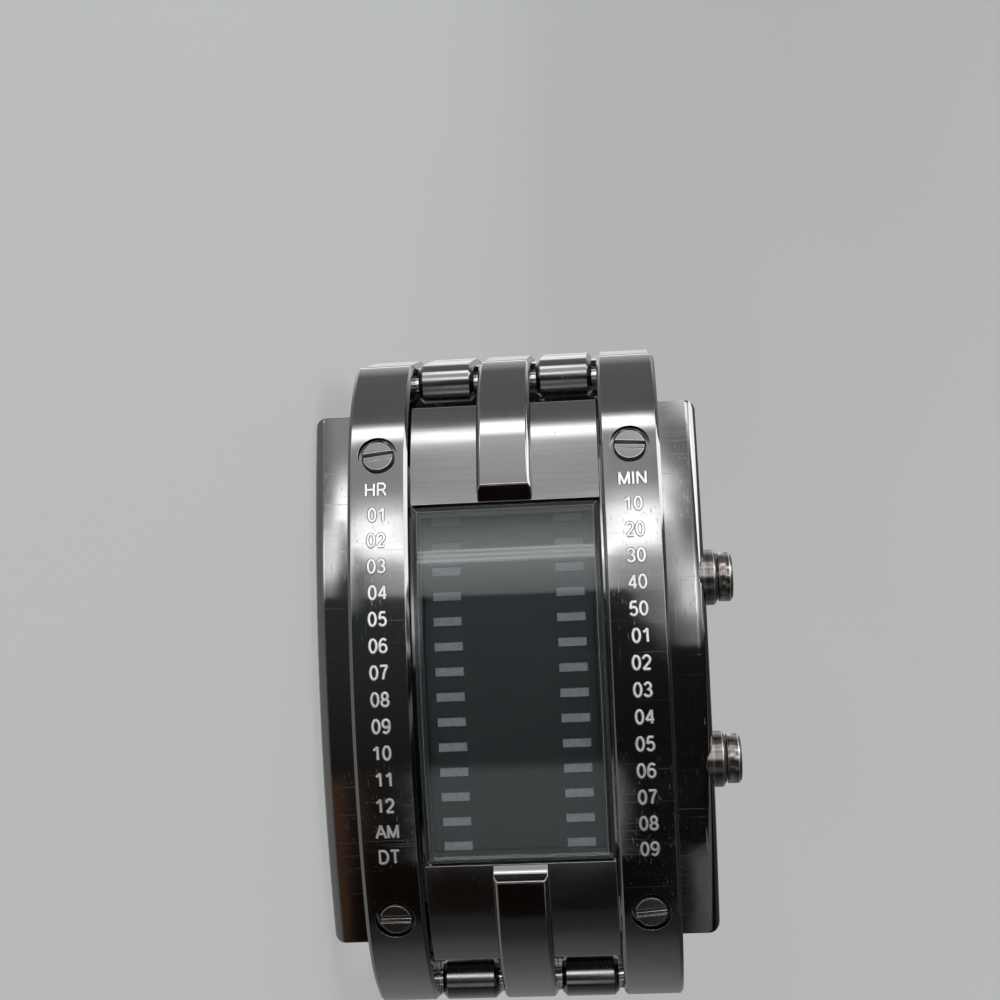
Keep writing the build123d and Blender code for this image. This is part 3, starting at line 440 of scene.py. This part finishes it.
# %% Tools for finishes
class Finish:
    """A material with its shader, and the steps that add detail to it."""

    def __init__(self, name, colour, metallic=0.0, roughness=0.5, **settings):
        self.material = bpy.data.materials.new(name)
        self.material.use_nodes = True
        self.nodes = self.material.node_tree.nodes
        self.links = self.material.node_tree.links
        self.shader = self.nodes["Principled BSDF"]
        self.shader.inputs["Base Color"].default_value = (*colour, 1)
        self.shader.inputs["Metallic"].default_value = metallic
        self.shader.inputs["Roughness"].default_value = roughness
        for setting, value in settings.items():
            self.shader.inputs[setting.replace("_", " ")].default_value = value
        self.place = self.nodes.new("ShaderNodeTexCoord").outputs["Object"]
        self.material.diffuse_color = (*colour, 1)

    def grain(self, scale, stretch=(1, 1, 1), turn=(0, 0, 0), detail=2.0, rough=0.5):
        """Noise with this many patches a metre, drawn out where stretch is small."""
        mapping = self.nodes.new("ShaderNodeMapping")
        self.links.new(self.place, mapping.inputs["Vector"])
        mapping.inputs["Rotation"].default_value = turn
        mapping.inputs["Scale"].default_value = stretch
        noise = self.nodes.new("ShaderNodeTexNoise")
        self.links.new(mapping.outputs[0], noise.inputs["Vector"])
        noise.inputs["Scale"].default_value = scale
        noise.inputs["Detail"].default_value = detail
        noise.inputs["Roughness"].default_value = rough
        return noise.outputs[0]

    def along(self, axis):
        """The place along one axis of the watch, in metres."""
        axes = self.nodes.new("ShaderNodeSeparateXYZ")
        self.links.new(self.place, axes.inputs[0])
        return axes.outputs[axis]

    def range(self, source, low, high, to_low, to_high):
        node = self.nodes.new("ShaderNodeMapRange")
        self.links.new(source, node.inputs["Value"])
        for name, value in zip(("From Min", "From Max", "To Min", "To Max"), (low, high, to_low, to_high)):
            node.inputs[name].default_value = value
        return node.outputs[0]

    def sum(self, operation, first, second):
        return node_sum(self.nodes, self.links, operation, first, second)

    def colour_between(self, source, first, second):
        mixed = node_mix(self.nodes, self.links, source, first, second)
        self.links.new(mixed, self.shader.inputs["Base Color"])

    def roughen(self, source):
        self.links.new(source, self.shader.inputs["Roughness"])

    def press(self, source, depth):
        """Presses a pattern in by this many metres, over what is pressed in already."""
        bump = self.nodes.new("ShaderNodeBump")
        bump.inputs["Distance"].default_value = depth
        self.links.new(source, bump.inputs["Height"])
        normal = self.shader.inputs["Normal"]
        if normal.is_linked:
            self.links.new(normal.links[0].from_socket, bump.inputs["Normal"])
        self.links.new(bump.outputs[0], normal)


def wear(finish, low, high, wave_depth=5e-6, scratch_depth=0.3e-6, scratch_roughness=0.10):
    """Smudges and hairlines: gloss that differs from patch to patch, and faint scratches two ways."""
    smudges = finish.range(finish.grain(170, detail=4, rough=0.6), 0.35, 0.75, low, high)
    one_way = finish.grain(9000, stretch=(1, 1, 0.012), turn=(0.3, 0.2, 0.5), detail=1)
    other_way = finish.grain(8000, stretch=(0.015, 1, 1), turn=(0.1, 0.6, 1.1), detail=1)
    hairs = finish.sum("MAXIMUM", finish.range(one_way, 0.68, 0.73, 0, 1),
                       finish.range(other_way, 0.69, 0.73, 0, 1))
    finish.roughen(finish.sum("ADD", smudges, finish.sum("MULTIPLY", hairs, scratch_roughness)))
    finish.press(finish.grain(240, detail=1), wave_depth)
    finish.press(hairs, scratch_depth)


# %% [markdown]
# ### Black chrome
# The case and bracelet are cast alloy under a thin black chrome. It is a dark mirror: almost black where
# the room is dark, silver where the lamps are. Cast parts are polished by hand, so the mirror is very
# slightly wavy, and months on a wrist dull it enough to blur a thin lamp to a soft band.

# %% Black chrome and its worn edges
slant_start = 15.4 * millimetre
slant_length = 1.45 * millimetre
rounding_slope = -2.4
rounding_depth = 0.2 * millimetre


def make_chrome(name, rough_low=0.045, rough_high=0.085):
    chrome = Finish(name, (0.20, 0.20, 0.20), metallic=1.0, roughness=rough_low)
    wear(chrome, rough_low, rough_high)
    chrome.colour_between(chrome.grain(120, detail=3), (0.186, 0.184, 0.184), (0.216, 0.216, 0.217))
    return chrome


black_chrome = make_chrome("black_chrome")
link_chrome = make_chrome("link_chrome", 0.14, 0.26)
# the polishing wheel rounded the slanted end of the lower rib: steeper next to the window, flatter below
rib_chrome = make_chrome("rib_chrome")
on_slant = rib_chrome.range(rib_chrome.along("X"), slant_start, slant_start + slant_length, 0.0, 1.0)
falling = rib_chrome.sum("ADD", rib_chrome.sum("MULTIPLY", on_slant, rounding_slope), 1.0)
rib_chrome.press(rib_chrome.sum("MULTIPLY", on_slant, falling), rounding_depth)

worn_edge = Finish("worn_edge", (0.30, 0.297, 0.295), metallic=1.0, roughness=0.2)
wear(worn_edge, 0.14, 0.26)
rubbed = worn_edge.grain(420, detail=4, rough=0.7)
worn_edge.colour_between(rubbed, (0.21, 0.208, 0.207), (0.36, 0.356, 0.352))
print("black chrome and worn edge, with", len(black_chrome.nodes), "nodes each")

# %% [markdown]
# ### Satin plating
# The panels between the window and the bracelet, the case back and the clasp are blasted or lightly brushed
# before plating. Brushing leaves fine lines one way only, so the noise is drawn out along the stroke. The
# small bright specks are pits in the casting that the plating did not fill.

# %% Satin plating, brushed across the watch
speck_roughness = 0.2
speck_depth = 4e-6


def make_satin(name, dark, light, stroke_depth, rough_low, rough_high):
    satin = Finish(name, dark, metallic=1.0, roughness=rough_low)
    strokes = satin.grain(6000, stretch=(1, 1, 0.02), detail=3, rough=0.6)
    specks = satin.range(satin.grain(5200, detail=1), 0.74, 0.80, 0, 1)
    satin.colour_between(satin.range(strokes, 0.3, 0.7, 0, 1), dark, light)
    patches = satin.range(satin.grain(150, detail=3), 0.3, 0.7, rough_low, rough_high)
    satin.roughen(satin.sum("ADD", patches, satin.sum("MULTIPLY", specks, speck_roughness)))
    satin.press(strokes, stroke_depth)
    satin.press(specks, speck_depth)
    return satin


satin_cover = make_satin("satin_cover", (0.195, 0.195, 0.196), (0.222, 0.222, 0.223),
                         stroke_depth=0.2e-6, rough_low=0.10, rough_high=0.17)
satin_across = make_satin("satin_across", (0.24, 0.24, 0.24), (0.34, 0.34, 0.338),
                          stroke_depth=1.4e-6, rough_low=0.24, rough_high=0.36)
print("satin strokes run across the covers, the clasp and the back")

# %% [markdown]
# ### Small metal parts
# Screws are plated like the case but duller. The pushers are turned on a lathe, which leaves rings about
# their axis: a noise that changes only along that axis. Plain steel, nickel and brass are inside the case.

# %% Screws, pushers, steel, nickel and brass
screw_metal = Finish("screw_metal", (0.21, 0.21, 0.21), metallic=1.0, roughness=0.16)
wear(screw_metal, 0.13, 0.22)
bright_edge = Finish("bright_edge", (0.5, 0.5, 0.49), metallic=1.0, roughness=0.34)
wear(bright_edge, 0.3, 0.42)
bright_edge.colour_between(bright_edge.grain(900, detail=3), (0.38, 0.38, 0.375), (0.62, 0.615, 0.61))

turned_steel = Finish("turned_steel", (0.2, 0.18, 0.17), metallic=1.0, roughness=0.2)
rings = turned_steel.grain(9000, stretch=(0.002, 0.002, 1), detail=2)
ring_tones = turned_steel.range(rings, 0.35, 0.65, 0, 1)
turned_steel.colour_between(ring_tones, (0.15, 0.135, 0.13), (0.26, 0.24, 0.23))
turned_steel.roughen(turned_steel.range(rings, 0.3, 0.7, 0.14, 0.26))
turned_steel.press(rings, 1.5e-6)


def make_plain_metal(name, dark, light, low, high):
    """A plain metal between two tones and two roughnesses."""
    metal = Finish(name, dark, metallic=1.0, roughness=low)
    metal.colour_between(metal.grain(500, detail=3), dark, light)
    metal.roughen(metal.range(metal.grain(900, detail=3), 0.3, 0.7, low, high))
    metal.press(metal.grain(6000, detail=1), 0.6e-6)
    return metal


plain_steel = make_plain_metal("plain_steel", (0.5, 0.5, 0.5), (0.62, 0.62, 0.61), 0.2, 0.34)
nickel_plate = make_plain_metal("nickel_plate", (0.6, 0.58, 0.55), (0.7, 0.68, 0.64), 0.16, 0.3)
bare_metal = make_plain_metal("bare_metal", (0.72, 0.72, 0.71), (0.9, 0.9, 0.89), 0.42, 0.56)
contact_brass = make_plain_metal("contact_brass", (0.7, 0.5, 0.22), (0.82, 0.62, 0.3), 0.2, 0.32)
print("finishes so far", len(bpy.data.materials))

# %% [markdown]
# ### Smoked glass
# The window is a thick mineral glass, tinted grey and as smooth as water. Light crosses it twice on the way
# to the display and back, so a light tint is enough to make the display look dim. Its edges are ground, not
# polished: the ground line scatters light and shows as a thin bright frame.

# %% Smoked glass and its ground edge
smoked_glass = Finish("smoked_glass", (0.62, 0.64, 0.65), roughness=0.015, Transmission_Weight=1.0, IOR=1.35)
smoked_glass.colour_between(smoked_glass.grain(60, detail=1), (0.61, 0.63, 0.64), (0.63, 0.65, 0.66))
smoked_glass.roughen(smoked_glass.range(smoked_glass.grain(220, detail=4), 0.5, 0.8, 0.004, 0.012))
ground_glass = Finish("ground_glass", (0.6, 0.62, 0.62), roughness=0.42)
ground_glass.colour_between(ground_glass.grain(1500, detail=3), (0.42, 0.44, 0.44), (0.88, 0.9, 0.9))
ground_glass.press(ground_glass.grain(9000, detail=2), 3e-6)
lens_low, lens_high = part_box("window_lens")
print("glass over", [round(side / millimetre, 1) for side in lens_high - lens_low], "mm")

# %% [markdown]
# ### What lies under the glass
# The display is a matt dark mask with a slot for each light bar. The bars are frosted, so they scatter
# light and look pale even when the watch is off.

# %% Mask, light bars, rubber, board and chips
def make_moulded(name, dark, light, scale, low, high, depth):
    """A surface between two tones and two roughnesses, with a grain of this scale and depth."""
    moulded = Finish(name, dark, roughness=low)
    moulded.colour_between(moulded.grain(scale, detail=4), dark, light)
    moulded.roughen(moulded.range(moulded.grain(scale * 2, detail=2), 0.3, 0.7, low, high))
    moulded.press(moulded.grain(scale * 4, detail=2), depth)
    return moulded


display_black = make_moulded("display_black", (0.066, 0.082, 0.085), (0.074, 0.091, 0.095),
                             800, 0.5, 0.65, 0.4e-6)
frosted_bar = make_moulded("frosted_bar", (0.42, 0.46, 0.49), (0.92, 0.99, 1.0), 2600, 0.5, 0.7, 4e-6)
# the glare of the room drowns the upper bars, as if they were greyer
glare_start = -5 * millimetre
glare_full = -13 * millimetre
most_glare = 0.85
drowned_bar = (0.09, 0.105, 0.11)
in_glare = frosted_bar.range(frosted_bar.along("X"), glare_start, glare_full, 0.0, most_glare)
clear_bar = frosted_bar.shader.inputs["Base Color"].links[0].from_socket
frosted_bar.colour_between(in_glare, clear_bar, drowned_bar)
led_package = make_moulded("led_package", (0.7, 0.66, 0.45), (0.82, 0.8, 0.66), 2500, 0.4, 0.55, 2e-6)
frame_plastic = make_moulded("frame_plastic", (0.018, 0.018, 0.02), (0.03, 0.03, 0.032), 900, 0.45, 0.6, 3e-6)
seal_rubber = make_moulded("seal_rubber", (0.015, 0.015, 0.015), (0.026, 0.026, 0.026), 1500, 0.7, 0.85, 3e-6)
green_board = make_moulded("green_board", (0.01, 0.07, 0.03), (0.02, 0.11, 0.045), 700, 0.3, 0.42, 3e-6)
# painted shade: a near-black, barely glossy finish for the screws' wider edge bevel, standing in for the
# shade round their heads and in their slots
painted_screw_shade = make_moulded("painted_screw_shade", (0.008, 0.008, 0.008), (0.018, 0.018, 0.017),
                            4000, 0.4, 0.6, 2e-6)
painted_screw_shade.shader.inputs["Specular IOR Level"].default_value = 0.1
chip_package = make_moulded("chip_package", (0.016, 0.016, 0.017), (0.03, 0.03, 0.031), 2200, 0.5, 0.62, 2e-6)
etched_rim = make_moulded("etched_rim", (0.03, 0.03, 0.03), (0.09, 0.09, 0.088), 5000, 0.5, 0.7, 3e-6)
print("finishes so far", len(bpy.data.materials))

# %% [markdown]
# A floor sheet of paper has a very faint tooth, and a slight change of tone keeps it from looking drawn.
# Part of its brightness is its own, as with a sheet lit through from behind, so no lamp leaves a bright
# patch on it.

# %% Paper
paper_glow = (0.505, 0.524, 0.507)
glow_strength = (0.72, 0.77)
paper = Finish("paper", (0.11, 0.112, 0.11), roughness=0.85)
paper_tone = paper.grain(2, detail=3)
paper.colour_between(paper_tone, (0.105, 0.107, 0.105), (0.115, 0.117, 0.115))
paper.press(paper.grain(900, detail=3), 20e-6)
paper.shader.inputs["Emission Color"].default_value = (*paper_glow, 1)
paper.links.new(paper.range(paper_tone, 0.3, 0.7, *glow_strength), paper.shader.inputs["Emission Strength"])
floor.data.materials.append(paper.material)
print("paper on", floor.name)

# %% [markdown]
# ## Finishes on the solid parts
# A solid part whose shape is right keeps it and only gets its finish. This list also tells which finish
# each part's softened copy will take later.

# %% Which part has which finish
halves = ("upper", "lower")
link_names = [f"{half}_link_{number}" for half in halves for number in range(1, 6)]
pin_names = [f"{half}_link_pin_{number}" for half in halves for number in range(1, 5)]
finish_of = {
    black_chrome: ["middle_case", "left_side_plate", "right_side_plate", "left_rail", "right_rail",
                   "clasp_cover"],
    link_chrome: link_names,
    rib_chrome: ["upper_rib", "lower_rib"],
    satin_cover: ["upper_end_cover", "lower_end_cover"],
    satin_across: ["case_back", "clasp_inner_blade", "clasp_middle_blade"],
    screw_metal: ["rail_screws", "back_screws"],
    turned_steel: ["pusher_tubes", "upper_pusher", "lower_pusher"],
    plain_steel: ["battery_strap", "quartz_crystal", "lug_pins", "upper_spring_bar", "lower_spring_bar",
                  "clasp_hinge_pins", "clasp_catch"] + pin_names
                 + [f"{half}_pusher_{piece}" for half in halves for piece in ("spring", "clip")],
    nickel_plate: ["coin_cells"],
    contact_brass: ["pusher_contacts"],
    smoked_glass: ["window_lens"],
    display_black: ["display_mask", "window_seal"],
    frosted_bar: ["light_bars"],
    led_package: ["led_chips"],
    frame_plastic: ["module_frame"],
    seal_rubber: ["back_seal", "upper_pusher_seal", "lower_pusher_seal"],
    green_board: ["circuit_board"],
    chip_package: ["controller_chip"],
}
bodies = frame["record"]["behaviour"]["bodies"]
body_of_part = {part: body for body, parts in bodies.items() for part in parts}
for finish, parts in finish_of.items():
    for part in parts:
        node = frame["nodes"][part]
        node.data.materials.clear()
        node.data.materials.append(finish.material)
print("parts with a finish", sum(len(parts) for parts in finish_of.values()), "of", len(frame["nodes"]))

# %% [markdown]
# ## Copies that stand in for a part
# Some parts need a finer mesh than the one they came with. Each gets a copy whose triangles are joined up
# again. The copy rides on the same body as the part, takes its place in the picture and keeps its kind of
# material.

# %% Clean copies
same_place = 1e-6
flat_below = math.radians(0.2)
smooth_below = math.radians(38)


def clean_copy(part, join_flat):
    """A copy of a part with its triangles welded together, and its flat areas joined if wanted."""
    select_only(frame["nodes"][part])
    bpy.ops.object.duplicate()
    copy = bpy.context.active_object
    copy.name = part + "_soft"
    bpy.ops.object.mode_set(mode="EDIT")
    bpy.ops.mesh.select_all(action="SELECT")
    bpy.ops.mesh.remove_doubles(threshold=same_place)
    if join_flat:
        bpy.ops.mesh.dissolve_limited(angle_limit=flat_below)
    bpy.ops.object.mode_set(mode="OBJECT")
    return copy


def stand_in(copy, part):
    copy.parent = None
    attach(copy, body_of_part[part])
    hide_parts(part)


print("bodies that a copy can ride on", len(bodies))

# %% [markdown]
# ## Softened edges
# A real edge is never perfectly sharp: casting, polishing and wear round it, and that thin round line
# catches the light. The flat areas of the copy are joined, and its sharp edges get a narrow bevel. The
# faces of the bevel can take a brighter finish than the plating, where it has worn through. A curved face
# of the case is cut up by the bores and seats in it, so in the end its corners get the exact direction of
# the curve, and it shades evenly.

# %% Soften one part
# the middles of the case's curves: the long one, the two end bends and the flatter one of the side plates
curve_middles = [dial_place(0, up * millimetre, out * millimetre)
                 for up, out in ((0, -61), (14.73, -17.95), (-14.73, -17.95), (0.65, -76.5))]
on_curve_below = math.radians(1.6)
sharp_above = math.radians(35)


def flat_direction(spot, middle):
    return Vector((spot.x - middle.x, spot.y - middle.y, 0)).normalized()


def follow_curve(thing):
    """Gives the faces along a curve of the case the normals of that curve, however they are cut up."""
    mesh = thing.data
    normals = [corner.vector.copy() for corner in mesh.corner_normals]
    for face in mesh.polygons:
        spots = [mesh.vertices[number].co for number in face.vertices]
        tangent = Vector((-face.normal.y, face.normal.x, 0))
        along = [spot.dot(tangent) for spot in spots]
        centre = (spots[along.index(min(along))] + spots[along.index(max(along))]) / 2
        match = [face.normal.dot(flat_direction(centre, middle)) for middle in curve_middles]
        if max(match) > math.cos(on_curve_below):
            middle = curve_middles[match.index(max(match))]
            for corner, spot in zip(face.loop_indices, spots):
                normals[corner] = flat_direction(spot, middle)
    mesh.normals_split_custom_set(normals)


def soften(part, bevels, clamp=True):
    """Softens a part's edges by bevels in turn; each is a width in millimetres, steps and a finish."""
    copy = clean_copy(part, join_flat=True)
    for number, (width, segments, edge_finish) in enumerate(bevels, 1):
        copy.data.materials.append(edge_finish.material)
        keep_modifier(copy, "BEVEL", width=width * millimetre, segments=segments, limit_method="ANGLE",
                      angle_limit=sharp_above, use_clamp_overlap=clamp, material=number,
                      miter_outer="MITER_ARC")
    select_only(copy)
    bpy.ops.object.shade_smooth_by_angle(angle=smooth_below)
    keep_modifier(copy, "WEIGHTED_NORMAL", mode="FACE_AREA", weight=100, keep_sharp=True)
    follow_curve(copy)
    stand_in(copy, part)
    return copy


# %% Soften all parts
# which parts get how wide an edge, in millimetres, in how many steps and with which finish
edge_list = [
    (["left_rail", "right_rail", "upper_rib", "lower_rib"], [(0.1, 2, worn_edge)]),
    (["left_side_plate", "right_side_plate"], [(0.08, 2, worn_edge)]),
    (["upper_end_cover", "lower_end_cover"], [(0.06, 2, bright_edge)]),
    # painted shade on the screws: the wider first bevel is near black, for the shade round the heads and in
    # the slots
    (["rail_screws", "back_screws"], [(0.1, 1, painted_screw_shade), (0.03, 1, bright_edge)]),
    (["window_lens"], [(0.1, 1, ground_glass)]),
    (link_names, [(0.16, 3, link_chrome)]),
    (["clasp_cover"], [(0.12, 2, worn_edge)]),
    (["clasp_middle_blade", "clasp_inner_blade", "case_back", "clasp_catch"], [(0.08, 2, worn_edge)]),
    (["pusher_tubes", "upper_pusher", "lower_pusher"], [(0.05, 2, bright_edge)]),
]
for parts, bevels in edge_list:
    for part in parts:
        copy = soften(part, bevels, clamp="screws" not in part)
        moved = max(abs(new - old) for new, old in zip(copy.bound_box[0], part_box(part)[0]))
        print(part, "faces", len(copy.data.polygons), "corner moved", round(moved / millimetre, 3), "mm")

# %% [markdown]
# ## The pushers' springs
# The pushers' springs stand on the floors of their tubes, and a pressed head shortens them. Each spring gets
# a clean copy with smooth shading, which rides on the same body as the spring and keeps its shape.

# %% Spring copies
for joint in frame["record"]["behaviour"]["joints"]:
    for spring in joint.get("deforming_nodes", []):
        copy = clean_copy(spring["node"], join_flat=False)
        bpy.ops.object.shade_smooth_by_angle(angle=smooth_below)
        stand_in(copy, spring["node"])
        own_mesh(copy)

# %% [markdown]
# ## Lettering on the rails
# The rails carry small pale numerals, one for each light. They are cut through the plating down to bare
# metal, so each has a dark rim round a pale stroke, and they dim towards six o'clock, where they face the
# dark shape in front. An engraver's pen has a round tip and one width: each character is drawn as the pen's
# path and the path is swept with a round section, once for the rim and thinner for the bare stroke.

# %% The paths of the characters
label_height = 1.29 * millimetre
label_pitch = 2.25 * millimetre
first_label = 17.1 * millimetre
label_across = 11.0 * millimetre
label_lift = 0.013 * millimetre
# radius and flatness of the pen, in shares of the character's height
rim_pen, rim_flatness = 0.118, 0.08
stroke_pen, stroke_flatness = 0.09, 0.20
digit_advance = 0.66


def oval(middle, reach, start, end, steps=12):
    """Points on an oval from one angle to another, in degrees."""
    turns = [math.radians(start + (end - start) * step / steps) for step in range(steps + 1)]
    return [(middle[0] + reach[0] * math.cos(turn), middle[1] + reach[1] * math.sin(turn)) for turn in turns]


# each stroke is a row of points in shares of the character's height, from its lower left corner
stroke_shares = {
    "0": [oval((0.30, 0.5), (0.225, 0.43), 90, 450, 20)],
    "1": [[(0.10, 0.70), (0.24, 0.79), (0.36, 0.93)], [(0.36, 0.93), (0.36, 0.07)]],
    "2": [oval((0.30, 0.68), (0.22, 0.25), 170, -35) + [(0.08, 0.07)], [(0.08, 0.07), (0.54, 0.07)]],
    "3": [oval((0.29, 0.72), (0.19, 0.21), 165, -90) + oval((0.29, 0.29), (0.225, 0.22), 90, -165)],
    "4": [[(0.43, 0.07), (0.43, 0.93)], [(0.43, 0.93), (0.06, 0.29)], [(0.06, 0.29), (0.56, 0.29)]],
    "5": [[(0.51, 0.93), (0.17, 0.93)], [(0.17, 0.93), (0.11, 0.50)],
          [(0.11, 0.50)] + oval((0.30, 0.335), (0.225, 0.265), 130, -155)],
    "6": [oval((0.33, 0.46), (0.255, 0.47), 50, 185) + oval((0.30, 0.325), (0.225, 0.255), 180, 540, 18)],
    "7": [[(0.06, 0.93), (0.54, 0.93)], [(0.54, 0.93), (0.39, 0.66), (0.29, 0.38), (0.24, 0.07)]],
    "8": [oval((0.30, 0.715), (0.185, 0.215), -90, 270, 16)
          + oval((0.30, 0.285), (0.225, 0.215), 90, 450, 16)],
    "9": [oval((0.27, 0.54), (0.255, 0.47), 230, 365) + oval((0.30, 0.675), (0.225, 0.255), 0, 360, 18)],
    "A": [[(0.03, 0.07), (0.34, 0.93)], [(0.34, 0.93), (0.65, 0.07)], [(0.15, 0.36), (0.53, 0.36)]],
    "D": [[(0.08, 0.07), (0.08, 0.93)] + oval((0.30, 0.5), (0.31, 0.43), 90, -90) + [(0.08, 0.07)]],
    "H": [[(0.08, 0.07), (0.08, 0.93)], [(0.62, 0.07), (0.62, 0.93)], [(0.08, 0.52), (0.62, 0.52)]],
    "I": [[(0.10, 0.07), (0.10, 0.93)]],
    "M": [[(0.08, 0.07), (0.08, 0.93)], [(0.08, 0.93), (0.39, 0.10)], [(0.39, 0.10), (0.70, 0.93)],
          [(0.70, 0.93), (0.70, 0.07)]],
    "N": [[(0.08, 0.07), (0.08, 0.93)], [(0.08, 0.93), (0.62, 0.07)], [(0.62, 0.07), (0.62, 0.93)]],
    "R": [[(0.08, 0.07), (0.08, 0.93), (0.36, 0.93)] + oval((0.36, 0.705), (0.21, 0.225), 80, -90)
          + [(0.08, 0.48)], [(0.38, 0.48), (0.62, 0.07)]],
    "T": [[(0.03, 0.93), (0.61, 0.93)], [(0.32, 0.93), (0.32, 0.07)]],
}
advance_share = {"A": 0.74, "D": 0.76, "H": 0.80, "I": 0.30, "M": 0.88, "N": 0.80, "R": 0.72, "T": 0.70}
print("characters", len(stroke_shares))

# %% Draw each character once
def draw_character(strokes, pen, flatness, finish):
    """Walks a point along the strokes, sweeps it with a round pen and flattens the result."""
    nothing_selected()
    bpy.ops.mesh.primitive_plane_add(size=1, location=(0, 0, 0))
    character = bpy.context.active_object
    bpy.ops.object.mode_set(mode="EDIT")
    bpy.ops.mesh.select_all(action="SELECT")
    bpy.ops.mesh.merge(type="CENTER")
    at = Vector((0, 0, 0))
    for number, stroke in enumerate(strokes):
        for step, (x, y) in enumerate(stroke):
            move = {"value": Vector((x, y, 0)) - at}
            if step > 0:
                bpy.ops.mesh.extrude_region_move(TRANSFORM_OT_translate=move)
            elif number > 0:
                bpy.ops.mesh.duplicate_move(TRANSFORM_OT_translate=move)
            else:
                bpy.ops.transform.translate(**move)
            at = Vector((x, y, 0))
    bpy.ops.object.mode_set(mode="OBJECT")
    bpy.ops.object.convert(target="CURVE")
    path = bpy.context.active_object
    path.data.bevel_depth = pen
    path.data.bevel_resolution = 1
    path.data.use_fill_caps = True
    bpy.ops.object.convert(target="MESH")
    character = bpy.context.active_object
    character.data.transform(Matrix.Diagonal((1, 1, flatness, 1)))
    character.data.materials.clear()
    character.data.materials.append(finish.material)
    return character


characters = {
    letter: [draw_character(strokes, rim_pen, rim_flatness, etched_rim),
             draw_character(strokes, stroke_pen, stroke_flatness, bare_metal)]
    for letter, strokes in stroke_shares.items()
}
print("faces of one", len(characters["0"][0].data.polygons))

# %% Place the labels
def curve_place(across, run, out):
    """A turn and place on the rails' curve; run goes along it from the middle towards twelve o'clock."""
    turn = run / rail_radius
    reach = rail_radius + out
    place = dial_place(across, reach * math.sin(turn), reach * math.cos(turn) - rail_radius)
    lean = Matrix.Rotation(-turn, 3, "X")
    return Matrix.Translation(place) @ (dial_axes @ lean).to_4x4()


def place_label(word, across, run):
    copies = []
    along = 0.0
    for letter in word:
        for source in characters[letter]:
            copy = bpy.data.objects.new(word, source.data.copy())
            bpy.context.scene.collection.objects.link(copy)
            copy.data.transform(Matrix.Translation((along, 0, 0)))
            copies.append(copy)
        along += advance_share.get(letter, digit_advance)
    corners = [vertex.co.x for copy in copies for vertex in copy.data.vertices]
    middle = Vector(((min(corners) + max(corners)) / 2, 0.5, 0))
    size = Matrix.Diagonal((label_height, label_height, label_height, 1))
    for copy in copies:
        copy.data.transform(curve_place(across, run, label_lift) @ size @ Matrix.Translation(-middle))
    return copies


left_words = ["HR"] + [f"{hour:02d}" for hour in range(1, 13)] + ["AM", "DT"]
right_words = ["MIN"] + [str(tens) for tens in range(10, 60, 10)]
right_words += [f"{minute:02d}" for minute in range(1, 10)]


def letter_rail(name, words, side):
    pieces = []
    for place, word in enumerate(words):
        pieces += place_label(word, side * label_across, first_label - place * label_pitch)
    nothing_selected()
    for piece in pieces:
        piece.select_set(True)
    bpy.context.view_layer.objects.active = pieces[0]
    bpy.ops.object.join()
    lettering = bpy.context.active_object
    lettering.name = name
    bpy.ops.object.mode_set(mode="EDIT")
    bpy.ops.mesh.select_all(action="SELECT")
    bpy.ops.mesh.normals_make_consistent(inside=False)
    bpy.ops.object.mode_set(mode="OBJECT")
    bpy.ops.object.shade_smooth_by_angle(angle=math.radians(50))
    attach(lettering, "case")
    return lettering


for name, words, side in (("left_lettering", left_words, -1), ("right_lettering", right_words, 1)):
    lettering = letter_rail(name, words, side)
    print(name, len(words), "labels", len(lettering.data.polygons), "faces")
for drawn in characters.values():
    for source in drawn:
        bpy.data.objects.remove(source)

# %% [markdown]
# ## Colours of the picture
# The plain view keeps what the lamps and finishes give, without a film look on top.

# %% Colour management
bpy.context.scene.view_settings.view_transform = "Standard"
bpy.context.scene.view_settings.exposure = 0.0
print("view", bpy.context.scene.view_settings.view_transform)

# %% Sizes and finish
look_low, look_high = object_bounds()
grown = (look_high - look_low) - (cad_high - cad_low)
print("grown by", [round(side / millimetre, 3) for side in grown], "mm")
